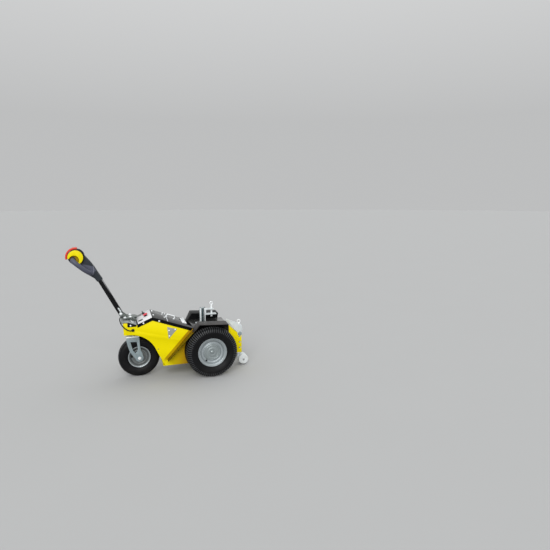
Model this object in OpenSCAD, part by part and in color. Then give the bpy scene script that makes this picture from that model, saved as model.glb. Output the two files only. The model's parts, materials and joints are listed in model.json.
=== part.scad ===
// Walk-behind electric tow tug: a folded sheet steel body on two driven rear wheels and one
// steered front wheel, with a tiller in front and two tow couplings behind.
// +X points to the tiller end, +Y to the left side, +Z up. Lengths are in millimetres.
// Heights are measured from the floor, and places along the length from the rear axle.

/* [Chassis] */
// Distance from the rear axle to the front axle
wheel_base = 564; // [540:2:590]
// Distance from the rear axle to the middle of the overall length
length_middle = 358.6; // [340:0.1:370]
// Width over the yellow side panels
body_w = 290; // [270:2:296]
// Thickness of the body sheet
sheet_t = 3; // [2:0.5:4]
// Front face of the nose
nose_x = 678; // [670:1:690]
// Lower edge of the nose
nose_bottom_z = 384; // [378:1:392]
// Height of the front deck
deck_z = 486; // [478:1:490]
// Overhang of the front deck over the nose
nose_lip = 16; // [12:1:20]
// Rear edge of the front deck's flat part
deck_bend_x = 639; // [630:1:645]
// Place of the dip between front deck and hood
dip_x = 577; // [570:1:590]
// Height of the dip
dip_z = 462; // [455:1:468]
// Place of the hood's ridge
ridge_x = 456; // [440:1:470]
// Height of the hood's ridge
ridge_z = 514; // [505:1:525]
// Rear edge of the hood
hood_rear_x = 137; // [130:1:145]
// Height of the hood's rear edge and of the rear deck
rear_deck_z = 398; // [392:1:404]
// Height of the hood's side flange
flange_h = 27; // [20:1:32]
// Thickness of hood, decks and mudguards
cover_t = 2.5; // [2:0.5:3]
// Radius of the arch that is cut into the side panels
arch_r = 212; // [205:1:218]
// Centre of the arch along the length
arch_x = 635; // [628:1:640]
// Height of the centre of the arch
arch_z = 171; // [166:1:174]
// Foremost point of the belly
belly_tip_x = 371; // [360:1:376]
// Height of the belly above the floor
belly_z = 104; // [98:1:112]
// Rear end of the side panels
body_rear_x = -160; // [-170:1:-156]
// Lower rear corner of the side panels
body_rear_z = 150; // [140:1:160]

/* [Drive] */
// Radius of the rear axle's tube
axle_tube_r = 32; // [28:1:36]
// Radius of the gear case
gear_case_r = 70; // [64:1:76]
// Width of the gear case
gear_case_w = 84; // [76:2:92]
// Radius of the drive motor
motor_r = 55; // [48:1:58]
// Distance from the rear axle to the motor's rear end
motor_reach = 130; // [120:1:140]
// Height of the battery
battery_h = 213; // [200:1:220]

/* [Rear wheels] */
// Outer diameter of the rear tyres
rear_tyre_d = 415; // [405:1:420]
// Width of the rear tyres
rear_tyre_w = 110; // [100:1:114]
// Number of shoulder lugs round a rear tyre
lug_count = 72; // [64:1:72]
// Depth of the gaps between the shoulder lugs
lug_depth = 5; // [3:0.5:6]
// Gap between a side panel and the rear tyre beside it
rear_tyre_gap = 10; // [9:0.5:16]
// Diameter of the rear rim at its flange
rear_rim_d = 226; // [220:1:236]
// Diameter of the raised disc of the rear hub
rear_disc_d = 136; // [120:1:140]
// Diameter of the rear hub cap
rear_cap_d = 30; // [24:1:36]
// Radius of the rear axle stubs
rear_stub_r = 14; // [12:0.5:16]

/* [Front wheel and fork] */
// Outer diameter of the front tyre
front_tyre_d = 330; // [320:1:334]
// Width of the front tyre
front_tyre_w = 96; // [90:1:100]
// Diameter of the front rim at its flange
front_rim_d = 167; // [160:1:176]
// Distance from the front axle forward to the steering axis
steer_lead = 47; // [40:1:52]
// Underside of the fork's top plate
fork_z = 343; // [341:0.5:346]
// Thickness of the fork plates
fork_t = 6; // [5:0.5:8]
// Clear width between the fork cheeks
fork_gap = 116; // [112:1:120]
// Rear end of the fork's top plate
fork_rear_x = 560; // [556:1:566]
// Front end of the fork's top plate
fork_front_x = 660; // [656:1:666]
// Radius of the fork's axle boss
fork_boss_r = 31; // [28:0.5:32]
// Radius of the front axle
front_axle_r = 10; // [8:0.5:12]

/* [Steering and tiller] */
// Outer radius of the steering head tube
head_tube_r = 32; // [30:0.5:33]
// Radius of the steering column
column_r = 24; // [20:0.5:26]
// Radius of the bearing flange on the front deck
bearing_r = 46; // [40:1:56]
// Distance from the steering axis forward to the tiller's pivot
pivot_lead = 79; // [74:1:84]
// Height of the tiller's pivot
pivot_z = 532; // [526:1:540]
// Lean of the tiller from upright
tiller_lean = 27; // [20:1:34]
// Side of the tiller's square tube
tiller_tube = 36; // [30:1:40]
// Wall of the tiller's square tube
tiller_wall = 3; // [2:0.5:4]
// Distance from the pivot to the end of the tube, inside the head
tiller_len = 372; // [360:1:384]
// Radius of the pivot pin
pivot_pin_r = 7; // [6:0.5:9]
// Middle plane of the thumb knobs on each side
knob_y = 50; // [46:1:56]
// Outer radius of the thumb knobs
knob_r = 55; // [48:1:58]
// Thickness of the thumb knobs
knob_t = 22; // [18:1:26]
// Distance from the end of the tube to the middle of the thumb knobs
head_reach = 184; // [176:1:190]
// Forward offset of the thumb knobs from the tube's axis
knob_v = 62; // [56:1:66]
// Thickness of the red safety pad
pad_t = 14; // [9:0.5:16]
// Radius of the side grips
grip_r = 18; // [14:0.5:19]

/* [Mudguards] */
// Overhang of the mudguards past the rear tyres
guard_overhang = 5; // [0:1:10]
// Rear end of the mudguards
mudguard_rear_x = -132; // [-138:1:-126]
// Height of the mudguard's rear end
mudguard_rear_z = 438; // [432:1:442]
// Height of the apron at the mudguard's rear end
apron_h = 36; // [28:1:38]
// Lower front end of the mudguards
mudguard_front_x = 352; // [348:1:356]
// Height of the mudguard's lower front end
mudguard_front_z = 157; // [152:1:162]
// Place of the mudguard's lower bend
mudguard_knee_x = 148; // [145:1:152]
// Height of the mudguard's lower bend
mudguard_knee_z = 380; // [376:1:384]
// Place of the mudguard's upper front bend
mudguard_bend_x = 102; // [98:1:106]
// Height of the mudguard's upper front bend
mudguard_bend_z = 451; // [446:1:456]

/* [Couplings] */
// Width over the cheeks of the hitch column
hitch_w = 80; // [70:1:90]
// Thickness of the hitch cheeks
hitch_t = 6; // [5:0.5:8]
// Rear face of the hitch column
hitch_rear_x = -296; // [-300:1:-290]
// Height of the hitch column's upper end, on the body
hitch_top_z = 385; // [380:1:390]
// Height of the step behind the hitch column's upper end
hitch_step_z = 298; // [294:1:302]
// Lower end of the hitch column
hitch_bottom_z = 118; // [112:1:126]
// Radius of the cross holes in the hitch column
hitch_hole_r = 8; // [6:0.5:9]
// Distance between the cross holes
hitch_pitch = 50; // [46:1:52]
// Height of the lowest cross hole
hitch_hole_z = 160; // [156:1:166]
// Thickness of the jaw plates of both couplings
jaw_t = 6; // [5:0.5:8]
// Radius of both tow pins
tow_pin_r = 8; // [7:0.5:9]
// Front face of the upper coupling's post
post_front_x = 55; // [52:1:58]
// Depth of the post along the length
post_d = 44; // [40:1:48]
// Width of the post
post_w = 46; // [42:1:50]
// Top of the post
post_top_z = 530; // [524:1:540]
// Lower face of the upper coupling's top plate
upper_jaw_z = 514; // [510:1:518]
// Height of the upper coupling's mouth
upper_mouth = 38; // [34:1:42]
// Radius of the anti-tip wheels
tip_wheel_r = 42.5; // [38:0.5:45]
// Width of each anti-tip wheel
tip_wheel_w = 25; // [22:1:30]
// Place of the anti-tip wheels' axle
tip_axle_x = -312; // [-316:1:-306]
// Height of the anti-tip wheels' axle
tip_axle_z = 51; // [48:1:56]

/* [Hidden] */
$fn = 64;
fit = 0.3;
axle_x = -length_middle;
rear_axle_z = rear_tyre_d / 2;
front_axle_z = front_tyre_d / 2;
steer_x = wheel_base + steer_lead;
pivot_x = steer_x + pivot_lead;
panel_y = body_w / 2;
inner_w = body_w - 2 * sheet_t;
cover_w = body_w + 2 * fit;
rear_track = body_w + 2 * rear_tyre_gap + rear_tyre_w;
mudguard_y = (rear_track + rear_tyre_w) / 2 + guard_overhang;
knob_u = tiller_len + head_reach;

// Outer surface of the decks and hood, from front to rear
top_line = [
    [nose_x + nose_lip, deck_z],
    [deck_bend_x, deck_z],
    [dip_x, dip_z],
    [ridge_x, ridge_z],
    [hood_rear_x, rear_deck_z]
];
// Outer surface of a mudguard, from its lower front end up and to the rear
guard_line = [
    [mudguard_front_x, mudguard_front_z],
    [mudguard_knee_x, mudguard_knee_z],
    [mudguard_bend_x, mudguard_bend_z],
    [mudguard_rear_x, mudguard_rear_z],
    [mudguard_rear_x + 6, mudguard_rear_z - apron_h]
];

// Unit vector, left normal and mitred offset of a line's point
function unit(v) = v / norm(v);
function left_of(v) = [-v[1], v[0]];
function heading(p, i) = unit(p[min(i + 1, len(p) - 1)] - p[min(i, len(p) - 2)]);
function mitre(p, i, d) =
    let (a = heading(p, max(i - 1, 0)), b = heading(p, i), n = unit(left_of(a) + left_of(b)))
    p[i] + n * d / (n * left_of(b));
function shifted(p, d) = [for (i = [0:len(p) - 1]) mitre(p, i, d)];
function reversed(p) = [for (i = [len(p) - 1:-1:0]) p[i]];

// Sheet of thickness t to the left of an open line
module strip(p, t) {
    polygon(concat(p, reversed(shifted(p, t))));
}

// Everything is placed from the rear axle
module from_axle() {
    translate([axle_x, 0, 0])
        children();
}

// A side view outline, made into a plate from y0 to y0 + t
module plate_xz(y0, t) {
    translate([0, y0 + t, 0])
        rotate([90, 0, 0])
            linear_extrude(height = t)
                children();
}

// A side view outline, made w wide across the middle plane
module across(w) {
    plate_xz(-w / 2, w)
        children();
}

// A cylinder along Y from y0 to y1
module rod_y(x, z, r, y0, y1) {
    translate([x, y1, z])
        rotate([90, 0, 0])
            cylinder(r = r, h = y1 - y0);
}

// Children lie on a facet of the top line, x forward along it and z off it
module on_facet(rear_point, front_point) {
    run = front_point - rear_point;
    translate([rear_point[0], 0, rear_point[1]])
        rotate([0, -atan2(run[1], run[0]), 0])
            children();
}

// A tube swept along points, with rings square to the path
function path_dir(p, i) = unit(p[min(i + 1, len(p) - 1)] - p[max(i - 1, 0)]);
function ring_at(p, i, r, sides, ref) =
    let (t = path_dir(p, i), a = unit(cross(t, ref)), b = cross(t, a))
    [for (k = [0:sides - 1]) p[i] + r * (cos(k * 360 / sides) * a + sin(k * 360 / sides) * b)];
module swept(p, r, sides, ref) {
    rings = [for (i = [0:len(p) - 1]) each ring_at(p, i, r, sides, ref)];
    walls = [for (i = [0:len(p) - 2], k = [0:sides - 1])
        [i * sides + k, i * sides + (k + 1) % sides,
            (i + 1) * sides + (k + 1) % sides, (i + 1) * sides + k]];
    first = [for (k = [sides - 1:-1:0]) k];
    last = [for (k = [0:sides - 1]) (len(p) - 1) * sides + k];
    polyhedron(points = rings, faces = [for (f = concat(walls, [first, last])) reversed(f)]);
}

// Smooth curve through hand-chosen points
function blend4(a, b, c, d, t) =
    0.5 * (2 * b + (c - a) * t + (2 * a - 5 * b + 4 * c - d) * t * t
        + (3 * b - a - 3 * c + d) * t * t * t);
function smooth(p, n) = [
    for (i = [0:len(p) - 2], k = [0:n - 1])
        blend4(p[max(i - 1, 0)], p[i], p[i + 1], p[min(i + 2, len(p) - 1)], k / n),
    p[len(p) - 1]
];

// Side panels

tail_l = 40;
module side_outline() {
    top = shifted(top_line, cover_t);
    difference() {
        polygon([
            [nose_x, nose_bottom_z],
            [nose_x, top[0][1]],
            top[1],
            top[2],
            top[3],
            top[4],
            [hood_rear_x - 1, rear_deck_z - cover_t],
            [body_rear_x, rear_deck_z - cover_t],
            [body_rear_x, body_rear_z],
            [body_rear_x + tail_l, belly_z],
            [belly_tip_x, belly_z],
            [arch_x - arch_r * sin(60), arch_z + arch_r * cos(60)],
            [arch_x, nose_bottom_z]
        ]);
        translate([arch_x, arch_z])
            circle(r = arch_r, $fn = 128);
    }
}

module side_panel(side) {
    y0 = side > 0 ? panel_y - sheet_t : -panel_y;
    axle_hole_r = rear_stub_r + 26;
    color("gold")
        from_axle()
            difference() {
                plate_xz(y0, sheet_t)
                    side_outline();
                rod_y(0, rear_axle_z, axle_hole_r, y0 - 1, y0 + sheet_t + 1);
            }
}

module side_panel_left() {
    difference() {
        side_panel(1);
        from_axle()
            rod_y(gland_x, gland_z, gland_bore_r, panel_y - sheet_t - 1, panel_y + 1);
    }
}

module side_panel_right() {
    side_panel(-1);
}

module nose_plate() {
    color("gold")
        from_axle()
            translate([nose_x - sheet_t, -inner_w / 2, nose_bottom_z])
                cube([sheet_t, inner_w, deck_z - cover_t - nose_bottom_z]);
}

// The liner behind the front wheel follows the wheel's swing
well_r = 225;
well_top_z = nose_bottom_z + 4;
module wheel_well() {
    top_x = steer_x - sqrt(pow(well_r, 2) - pow(well_top_z - front_axle_z, 2));
    color("gold")
        from_axle()
            difference() {
                union() {
                    across(inner_w)
                        intersection() {
                            difference() {
                                translate([steer_x, front_axle_z])
                                    circle(r = well_r + sheet_t, $fn = 128);
                                translate([steer_x, front_axle_z])
                                    circle(r = well_r, $fn = 128);
                            }
                            translate([steer_x - well_r - sheet_t, front_axle_z])
                                square([top_x - steer_x + well_r + sheet_t,
                                    well_top_z - front_axle_z + sheet_t]);
                        }
                    across(inner_w)
                        translate([top_x - sheet_t, well_top_z])
                            square([nose_x - sheet_t - top_x + sheet_t, sheet_t]);
                    across(inner_w)
                        translate([steer_x - well_r - sheet_t, belly_z + sheet_t])
                            square([sheet_t, front_axle_z - belly_z - sheet_t + 1]);
                }
                translate([steer_x, 0, well_top_z - 1])
                    cylinder(r = head_tube_r + fit, h = sheet_t + 2);
            }
}

module floor_plate() {
    front = steer_x - well_r;
    color("gold")
        from_axle()
            translate([body_rear_x + tail_l, -inner_w / 2, belly_z])
                cube([front - body_rear_x - tail_l, inner_w, sheet_t]);
}

// Front deck and hood

flange_gap = 4;
tab_front_x = deck_bend_x + 9;
tab_low_z = dip_z - 12;

module side_flanges() {
    for (side = [-1, 1])
        plate_xz(side > 0 ? cover_w / 2 : -cover_w / 2 - cover_t, cover_t)
            children();
}

module front_deck() {
    line = [top_line[0], top_line[1], top_line[2] + fit * unit(top_line[1] - top_line[2])];
    color("dimgray")
        from_axle()
            difference() {
                union() {
                    across(cover_w + 2 * cover_t)
                        strip(line, cover_t);
                    side_flanges()
                        polygon([
                            [tab_front_x, deck_z],
                            [deck_bend_x, deck_z],
                            [dip_x + flange_gap, dip_z + 1],
                            [dip_x + flange_gap, tab_low_z],
                            [tab_front_x, tab_low_z]
                        ]);
                }
                translate([steer_x, 0, dip_z - 10])
                    cylinder(r = head_tube_r + fit, h = deck_z - dip_z + 20);
            }
}

module hood() {
    line = [top_line[2] + fit * unit(top_line[3] - top_line[2]), top_line[3], top_line[4]];
    color("dimgray")
        from_axle() {
            across(cover_w + 2 * cover_t)
                strip(line, cover_t);
            side_flanges()
                difference() {
                    polygon([
                        [dip_x - flange_gap, dip_z + 1],
                        [ridge_x, ridge_z],
                        [hood_rear_x, rear_deck_z],
                        [hood_rear_x, rear_deck_z - flange_h],
                        [ridge_x, ridge_z - flange_h],
                        [dip_x - flange_gap, dip_z - flange_h + 4]
                    ]);
                    polygon([
                        guard_line[2] + [4, 4],
                        guard_line[1] + [4, 3],
                        guard_line[0] + [4, 3],
                        [guard_line[2][0] - 60, guard_line[0][1]],
                        guard_line[2] + [-60, 4]
                    ]);
                }
        }
}

// Fittings on the hood

cover_len = 112;
cover_margin = 4;
module hatch_cover() {
    color("gray")
        from_axle()
            on_facet(top_line[4], top_line[3])
                translate([norm(top_line[3] - top_line[4]) - cover_len - 5, -panel_y + cover_margin, 0])
                    cube([cover_len, body_w - 2 * cover_margin, 2]);
}

panel_h = 2;
panel_split_x = 76;
panel_margin = 3;
module control_panel() {
    front_x = norm(top_line[3] - top_line[2]) - 11;
    edge_y = panel_y - 1;
    color("white")
        from_axle()
            on_facet(top_line[3], top_line[2])
                linear_extrude(height = panel_h)
                    polygon([
                        [panel_margin, -edge_y],
                        [panel_split_x, -edge_y],
                        [panel_split_x, -body_w / 4],
                        [front_x, -body_w / 4],
                        [front_x, edge_y],
                        [panel_margin, edge_y]
                    ]);
}

// Controls sit at x along the front facet from the ridge, and y across it
module on_panel(x, y) {
    from_axle()
        on_facet(top_line[3], top_line[2])
            translate([x, y, panel_h])
                children();
}

stop_r = 20;
stop_collar_h = 12;
module emergency_stop() {
    color("crimson")
        on_panel(45, 10) {
            cylinder(r = stop_r - 6, h = stop_collar_h);
            translate([0, 0, stop_collar_h])
                cylinder(r1 = stop_r, r2 = stop_r - 3, h = 9);
        }
}

key_r = 13;
module key_switch() {
    color("black")
        on_panel(60, -body_w / 3) {
            cylinder(r = key_r, h = 10);
            translate([-3, -10, 10])
                cube([6, 20, 14]);
        }
}

gauge_r = 20;
module battery_gauge() {
    color("black")
        on_panel(94, body_w / 4)
            cylinder(r = gauge_r, h = 4);
}

latch_x = 40;
latch_y = -105;
latch_l = 40;
latch_w = 150;
module hood_latch() {
    color("silver")
        from_axle()
            on_facet(top_line[4], top_line[3])
                translate([latch_x, latch_y, 0]) {
                    cube([latch_l, latch_w, 4]);
                    translate([latch_l / 4, latch_w / 5, 4])
                        cube([latch_l / 2, latch_w * 0.6, 9]);
                }
}

handle_x = 142;
handle_y = -25;
handle_l = 66;
handle_h = 22;
handle_r = 5;
module hood_handle() {
    color("silver")
        from_axle()
            on_facet(top_line[4], top_line[3])
                translate([handle_x, handle_y, 0]) {
                    for (x = [0, handle_l])
                        translate([x, 0, 0])
                            cylinder(r = handle_r, h = handle_h);
                    translate([-handle_r, 0, handle_h])
                        rotate([0, 90, 0])
                            cylinder(r = handle_r, h = handle_l + 2 * handle_r);
                }
}

battery_rear_x = 75;
battery_gap = 12;
module battery_block() {
    color("darkslategray")
        from_axle()
            translate([battery_rear_x, -inner_w / 2 + battery_gap, belly_z + sheet_t])
                cube([belly_tip_x - 6 - battery_rear_x, inner_w - 2 * battery_gap, battery_h]);
}

// Drive axle with its motor

rear_stub_end = 20;
module transaxle() {
    stub_y = rear_track / 2 + rear_stub_end;
    color("slategray")
        from_axle() {
            rod_y(0, rear_axle_z, axle_tube_r, -inner_w / 2 + 2, inner_w / 2 - 2);
            rod_y(0, rear_axle_z, gear_case_r, -gear_case_w / 2, gear_case_w / 2);
            rod_y(0, rear_axle_z, rear_stub_r, -stub_y, stub_y);
            translate([-motor_reach, 0, rear_axle_z])
                rotate([0, 90, 0])
                    cylinder(r = motor_r, h = motor_reach - 20);
            translate([-gear_case_r + 10, -gear_case_w / 2 + 2, belly_z + sheet_t])
                cube([2 * gear_case_r - 20, gear_case_w - 4, rear_axle_z - belly_z - sheet_t]);
        }
}

// Rear wheels, built round their own axle

// Outer face of the rear rim's flanges, from the wheel's middle plane
rear_bead_y = 37;

module wheel_at(x, z, y) {
    from_axle()
        translate([x, y, z])
            rotate([-90, 0, 0])
                children();
}

// Rows of the rear tyre: radius, distance from the middle plane, points per lug, depth of gaps
function rear_tyre_half(r, w, rim) = [
    [rim - 8, rear_bead_y - 10, 1, 0],
    [rim + 8, rear_bead_y - 1, 1, 0],
    [(r + rim) / 2 + 8, w, 1, 0],
    [r - 14, w - 6, 2, lug_depth],
    [r - 4, w - 20, 2, lug_depth],
    [r, w - 38, 1, 0]
];

// Points of one row: between two lugs the second point sinks towards the axle and the middle
function tyre_ring(row) = [
    for (k = [0:lug_count * row[2] - 1])
        let (
            sunk = k % 2 == 1 ? row[3] * 0.7 : 0,
            a = 360 * k / (lug_count * row[2]),
            r = row[0] - sunk,
            y = row[1] - sign(row[1]) * sunk
        )
        [r * cos(a), r * sin(a), y]
];

// Triangles between two rows with one or two points per lug, whose points start at p and q
function ring_band(p, np, q, nq) = [
    for (k = [0:lug_count - 1])
        let (
            p0 = p + k * np,
            p1 = p + ((k + 1) * np) % (lug_count * np),
            q0 = q + k * nq,
            q1 = q + ((k + 1) * nq) % (lug_count * nq)
        )
        each np == 1 && nq == 1 ? [[p0, p1, q0], [p1, q1, q0]]
            : np == 1 ? [[p0, q0 + 1, q0], [p0, p1, q0 + 1], [p1, q1, q0 + 1]]
            : nq == 1 ? [[p0, p0 + 1, q0], [p0 + 1, q1, q0], [p0 + 1, p1, q1]]
            : [[p0, p0 + 1, q0], [p0 + 1, q0 + 1, q0], [p0 + 1, p1, q0 + 1], [p1, q1, q0 + 1]]
];
function points_before(rows, i) = i == 0 ? 0 : points_before(rows, i - 1) + len(tyre_ring(rows[i - 1]));

module rear_tyre_shape() {
    half = rear_tyre_half(rear_tyre_d / 2, rear_tyre_w / 2, rear_rim_d / 2);
    rows = concat([for (p = half) [p[0], -p[1], p[2], p[3]]], reversed(half));
    n = len(rows);
    polyhedron(
        points = [for (row = rows) each tyre_ring(row)],
        faces = [for (i = [0:n - 1])
            let (j = (i + 1) % n)
            for (f = ring_band(points_before(rows, i), rows[i][2], points_before(rows, j), rows[j][2]))
            reversed(f)]);
}

module rear_rim_shape() {
    rim = rear_rim_d / 2;
    flange = [
        [rim - 8.3, rear_bead_y - 9],
        [rim + 4, rear_bead_y - 2],
        [rim + 5, rear_bead_y],
        [rim + 2, rear_bead_y + 1]
    ];
    rotate_extrude($fn = 96)
        polygon(concat(
            [
                [rear_stub_r + 0.05, -30],
                [34, -30],
                [34, 4],
                [rear_disc_d / 2 - 4, 2],
                [rim - 30, -4],
                [rim - 16, -rear_bead_y + 6],
                [rim - 12, -rear_bead_y + 4],
                [rim - 4, -rear_bead_y + 4]
            ],
            [for (p = reversed(flange)) [p[0], -p[1]]],
            flange,
            [
                [rim - 6, rear_bead_y - 4],
                [rim - 14, rear_bead_y - 8],
                [rim - 27, 9],
                [rear_disc_d / 2 + 7, 8],
                [rear_disc_d / 2, 15],
                [40, 18],
                [rear_cap_d / 2 + 1, 18],
                [rear_cap_d / 2, rear_stub_end + 5],
                [0, rear_stub_end + 5],
                [0, rear_stub_end + fit],
                [rear_stub_r + 0.05, rear_stub_end + fit]
            ]));
}

module rear_tyre_left() {
    color("black")
        wheel_at(0, rear_axle_z, rear_track / 2)
            rear_tyre_shape();
}

module rear_rim_left() {
    color("silver")
        wheel_at(0, rear_axle_z, rear_track / 2)
            rear_rim_shape();
}

module rear_tyre_right() {
    color("black")
        wheel_at(0, rear_axle_z, -rear_track / 2)
            mirror([0, 0, 1])
                rear_tyre_shape();
}

module rear_rim_right() {
    color("silver")
        wheel_at(0, rear_axle_z, -rear_track / 2)
            mirror([0, 0, 1])
                rear_rim_shape();
}

// Front wheel and fork

// Outer face of the front rim's flanges, from the wheel's middle plane
front_bead_y = 38;
module front_tyre() {
    r = front_tyre_d / 2;
    w = front_tyre_w / 2;
    rim = front_rim_d / 2;
    half = [
        [rim - 8, front_bead_y - 10],
        [rim + 8, front_bead_y - 1],
        [rim + 18, w - 4],
        [(r + rim) / 2 + 4, w],
        [r - 14, w - 7],
        [r - 3, w - 22],
        [r, 12]
    ];
    color("black")
        wheel_at(wheel_base, front_axle_z, 0)
            rotate_extrude($fn = 48)
                polygon(concat([for (p = half) [p[0], -p[1]]], reversed(half)));
}

module front_rim() {
    rim = front_rim_d / 2;
    half = [
        [front_axle_r + 0.05, fork_gap / 2 - 5],
        [26, fork_gap / 2 - 5],
        [28, 16],
        [rim - 22, 12],
        [rim - 12, front_bead_y - 10],
        [rim - 8, front_bead_y - 4],
        [rim + 2, front_bead_y + 1],
        [rim + 5, front_bead_y],
        [rim + 4, front_bead_y - 2],
        [rim - 8.3, front_bead_y - 9]
    ];
    color("lightgray")
        wheel_at(wheel_base, front_axle_z, 0)
            rotate_extrude($fn = 96)
                polygon(concat(half, [for (p = reversed(half)) [p[0], -p[1]]]));
}

axle_nut_r = 16;
axle_nut_t = 9;
module front_axle() {
    end_y = fork_gap / 2 + fork_t;
    nut_y = end_y + 0.1;
    color("silver")
        from_axle() {
            rod_y(wheel_base, front_axle_z, front_axle_r, -end_y - 12, end_y + 12);
            for (y = [-nut_y - axle_nut_t, nut_y])
                rod_y(wheel_base, front_axle_z, axle_nut_r, y, y + axle_nut_t);
        }
}

// Each fork cheek is two bars that bend in to the axle boss
module fork_cheek() {
    difference() {
        union() {
            translate([wheel_base, front_axle_z])
                circle(r = fork_boss_r);
            polygon([
                [fork_rear_x, fork_z + fork_t],
                [fork_rear_x - 3, front_axle_z + 100],
                [fork_rear_x - 9, front_axle_z + 62],
                [wheel_base - 22, front_axle_z + 40],
                [wheel_base - fork_boss_r + 1, front_axle_z + 6],
                [wheel_base + 18, front_axle_z - fork_boss_r + 8],
                [wheel_base + 43, front_axle_z + 11],
                [wheel_base + 72, front_axle_z + 55],
                [fork_front_x - 9, front_axle_z + 105],
                [fork_front_x - 1, front_axle_z + 146],
                [fork_front_x, fork_z + fork_t]
            ]);
        }
        polygon([
            [fork_rear_x + 21, fork_z - 42],
            [fork_rear_x + 15, front_axle_z + 92],
            [wheel_base + 10, front_axle_z + 66],
            [wheel_base + 30, front_axle_z + 42],
            [wheel_base + 47, front_axle_z + 64],
            [fork_front_x - 38, front_axle_z + 103],
            [fork_front_x - 31, fork_z - 39]
        ]);
        translate([wheel_base, front_axle_z])
            circle(r = front_axle_r);
    }
}

module steering_fork() {
    color("lightsteelblue")
        from_axle() {
            for (y = [-fork_gap / 2 - fork_t, fork_gap / 2])
                plate_xz(y, fork_t)
                    fork_cheek();
            translate([fork_rear_x, -fork_gap / 2, fork_z])
                cube([fork_front_x - fork_rear_x, fork_gap, fork_t]);
        }
}

// Bearing housing in the nose, with its flange on the front deck
module steering_head() {
    low = fork_z + fork_t + 6;
    color("darkgray")
        from_axle()
            translate([steer_x, 0, 0])
                difference() {
                    union() {
                        translate([0, 0, low])
                            cylinder(r = head_tube_r, h = deck_z - low);
                        translate([0, 0, deck_z])
                            cylinder(r = bearing_r, h = 6);
                    }
                    translate([0, 0, low - 1])
                        cylinder(r = column_r + fit, h = deck_z - low + 8);
                }
}

module steering_column() {
    color("silver")
        from_axle()
            translate([steer_x, 0, fork_z + fork_t])
                cylinder(r = column_r, h = deck_z + 12 - fork_z - fork_t);
}

// Tiller, built upright from its pivot and then leaned forward

bracket_z = deck_z + 12;
ear_t = 6;
base_t = 8;
base_half_w = 66;
clip_x = steer_x + 52;
clip_y = 50;
clip_l = 10;
clip_w = 16;
clip_h = 14;
module tiller_bracket() {
    ear_y = tiller_tube / 2 + 1;
    color("dimgray")
        from_axle() {
            translate([steer_x, 0, bracket_z])
                cylinder(r = base_half_w - 20, h = base_t);
            translate([steer_x, 0, bracket_z])
                linear_extrude(height = base_t)
                    polygon([
                        [0, base_half_w - 20],
                        [16, base_half_w - 6],
                        [40, base_half_w],
                        [66, base_half_w],
                        [pivot_lead + 4, base_half_w - 22],
                        [pivot_lead + 4, -base_half_w + 22],
                        [66, -base_half_w],
                        [40, -base_half_w],
                        [16, -base_half_w + 6],
                        [0, -base_half_w + 20]
                    ]);
            translate([clip_x - clip_l, clip_y - clip_w / 2, bracket_z + base_t])
                cube([clip_l, clip_w, clip_h]);
            for (y = [-ear_y - ear_t, ear_y])
                difference() {
                    plate_xz(y, ear_t)
                        union() {
                            translate([pivot_x, pivot_z])
                                circle(r = 16);
                            polygon([
                                [steer_x + 20, bracket_z + 4],
                                [pivot_x + 4, bracket_z + 4],
                                [pivot_x + 16, pivot_z],
                                [pivot_x - 12, pivot_z + 10]
                            ]);
                        }
                    rod_y(pivot_x, pivot_z, pivot_pin_r + 0.05, y - 1, y + ear_t + 1);
                }
        }
}

module on_tiller() {
    from_axle()
        translate([pivot_x, 0, pivot_z])
            rotate([0, tiller_lean, 0])
                children();
}

module tiller_shaft() {
    s = tiller_tube / 2;
    pin_end = s + 1 + ear_t + 4;
    color("black")
        on_tiller() {
            difference() {
                translate([-s, -s, -8])
                    cube([2 * s, 2 * s, tiller_len + 8]);
                translate([-s + tiller_wall, -s + tiller_wall, 16])
                    cube([2 * (s - tiller_wall), 2 * (s - tiller_wall), tiller_len - 15]);
            }
            rod_y(0, 0, pivot_pin_r, -pin_end, pin_end);
        }
}

// Sections of the control head: distance along the tiller, forward offset of the middle,
// half depth fore and aft, half width, roundness of the corners
head_sections = [
    [tiller_len - 60, 0, 24, 24, 0.5],
    [tiller_len - 27, 0.06 * knob_v, 25, 27, 0.6],
    [tiller_len + 8, 0.23 * knob_v, 34, 32, 0.75],
    [tiller_len + 0.32 * head_reach, 0.45 * knob_v, 47, 34, 0.8],
    [tiller_len + 0.59 * head_reach, 0.68 * knob_v, 55, 34, 0.8],
    [tiller_len + 0.8 * head_reach, 0.87 * knob_v, 58, 34, 0.8],
    [knob_u, knob_v, 59.5, 33, 0.8],
    [knob_u + 24, knob_v, 54.5, 32, 0.8],
    [knob_u + 42, knob_v, 42, 29, 0.8],
    [knob_u + 54, knob_v, 25, 24, 0.8]
];
head_sides = 24;
head_tip_r = 60;
function rounded(a, p) = sign(a) * pow(abs(a), p);

// Route of a side grip, as forward offset, sideways offset and distance along the tiller
grip_end_v = knob_v + 24;
grip_end_u = knob_u - 6;
grip_route = [
    [0.35 * knob_v, 20, tiller_len + 0.11 * head_reach],
    [0.52 * knob_v, 54, tiller_len + 0.17 * head_reach],
    [0.74 * knob_v, 78, tiller_len + 0.34 * head_reach],
    [knob_v, 91, tiller_len + 0.56 * head_reach],
    [knob_v + 15, 93, tiller_len + 0.78 * head_reach],
    [grip_end_v - 1, 84, grip_end_u - 8],
    [grip_end_v, 62, grip_end_u],
    [grip_end_v, 24, grip_end_u]
];

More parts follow.
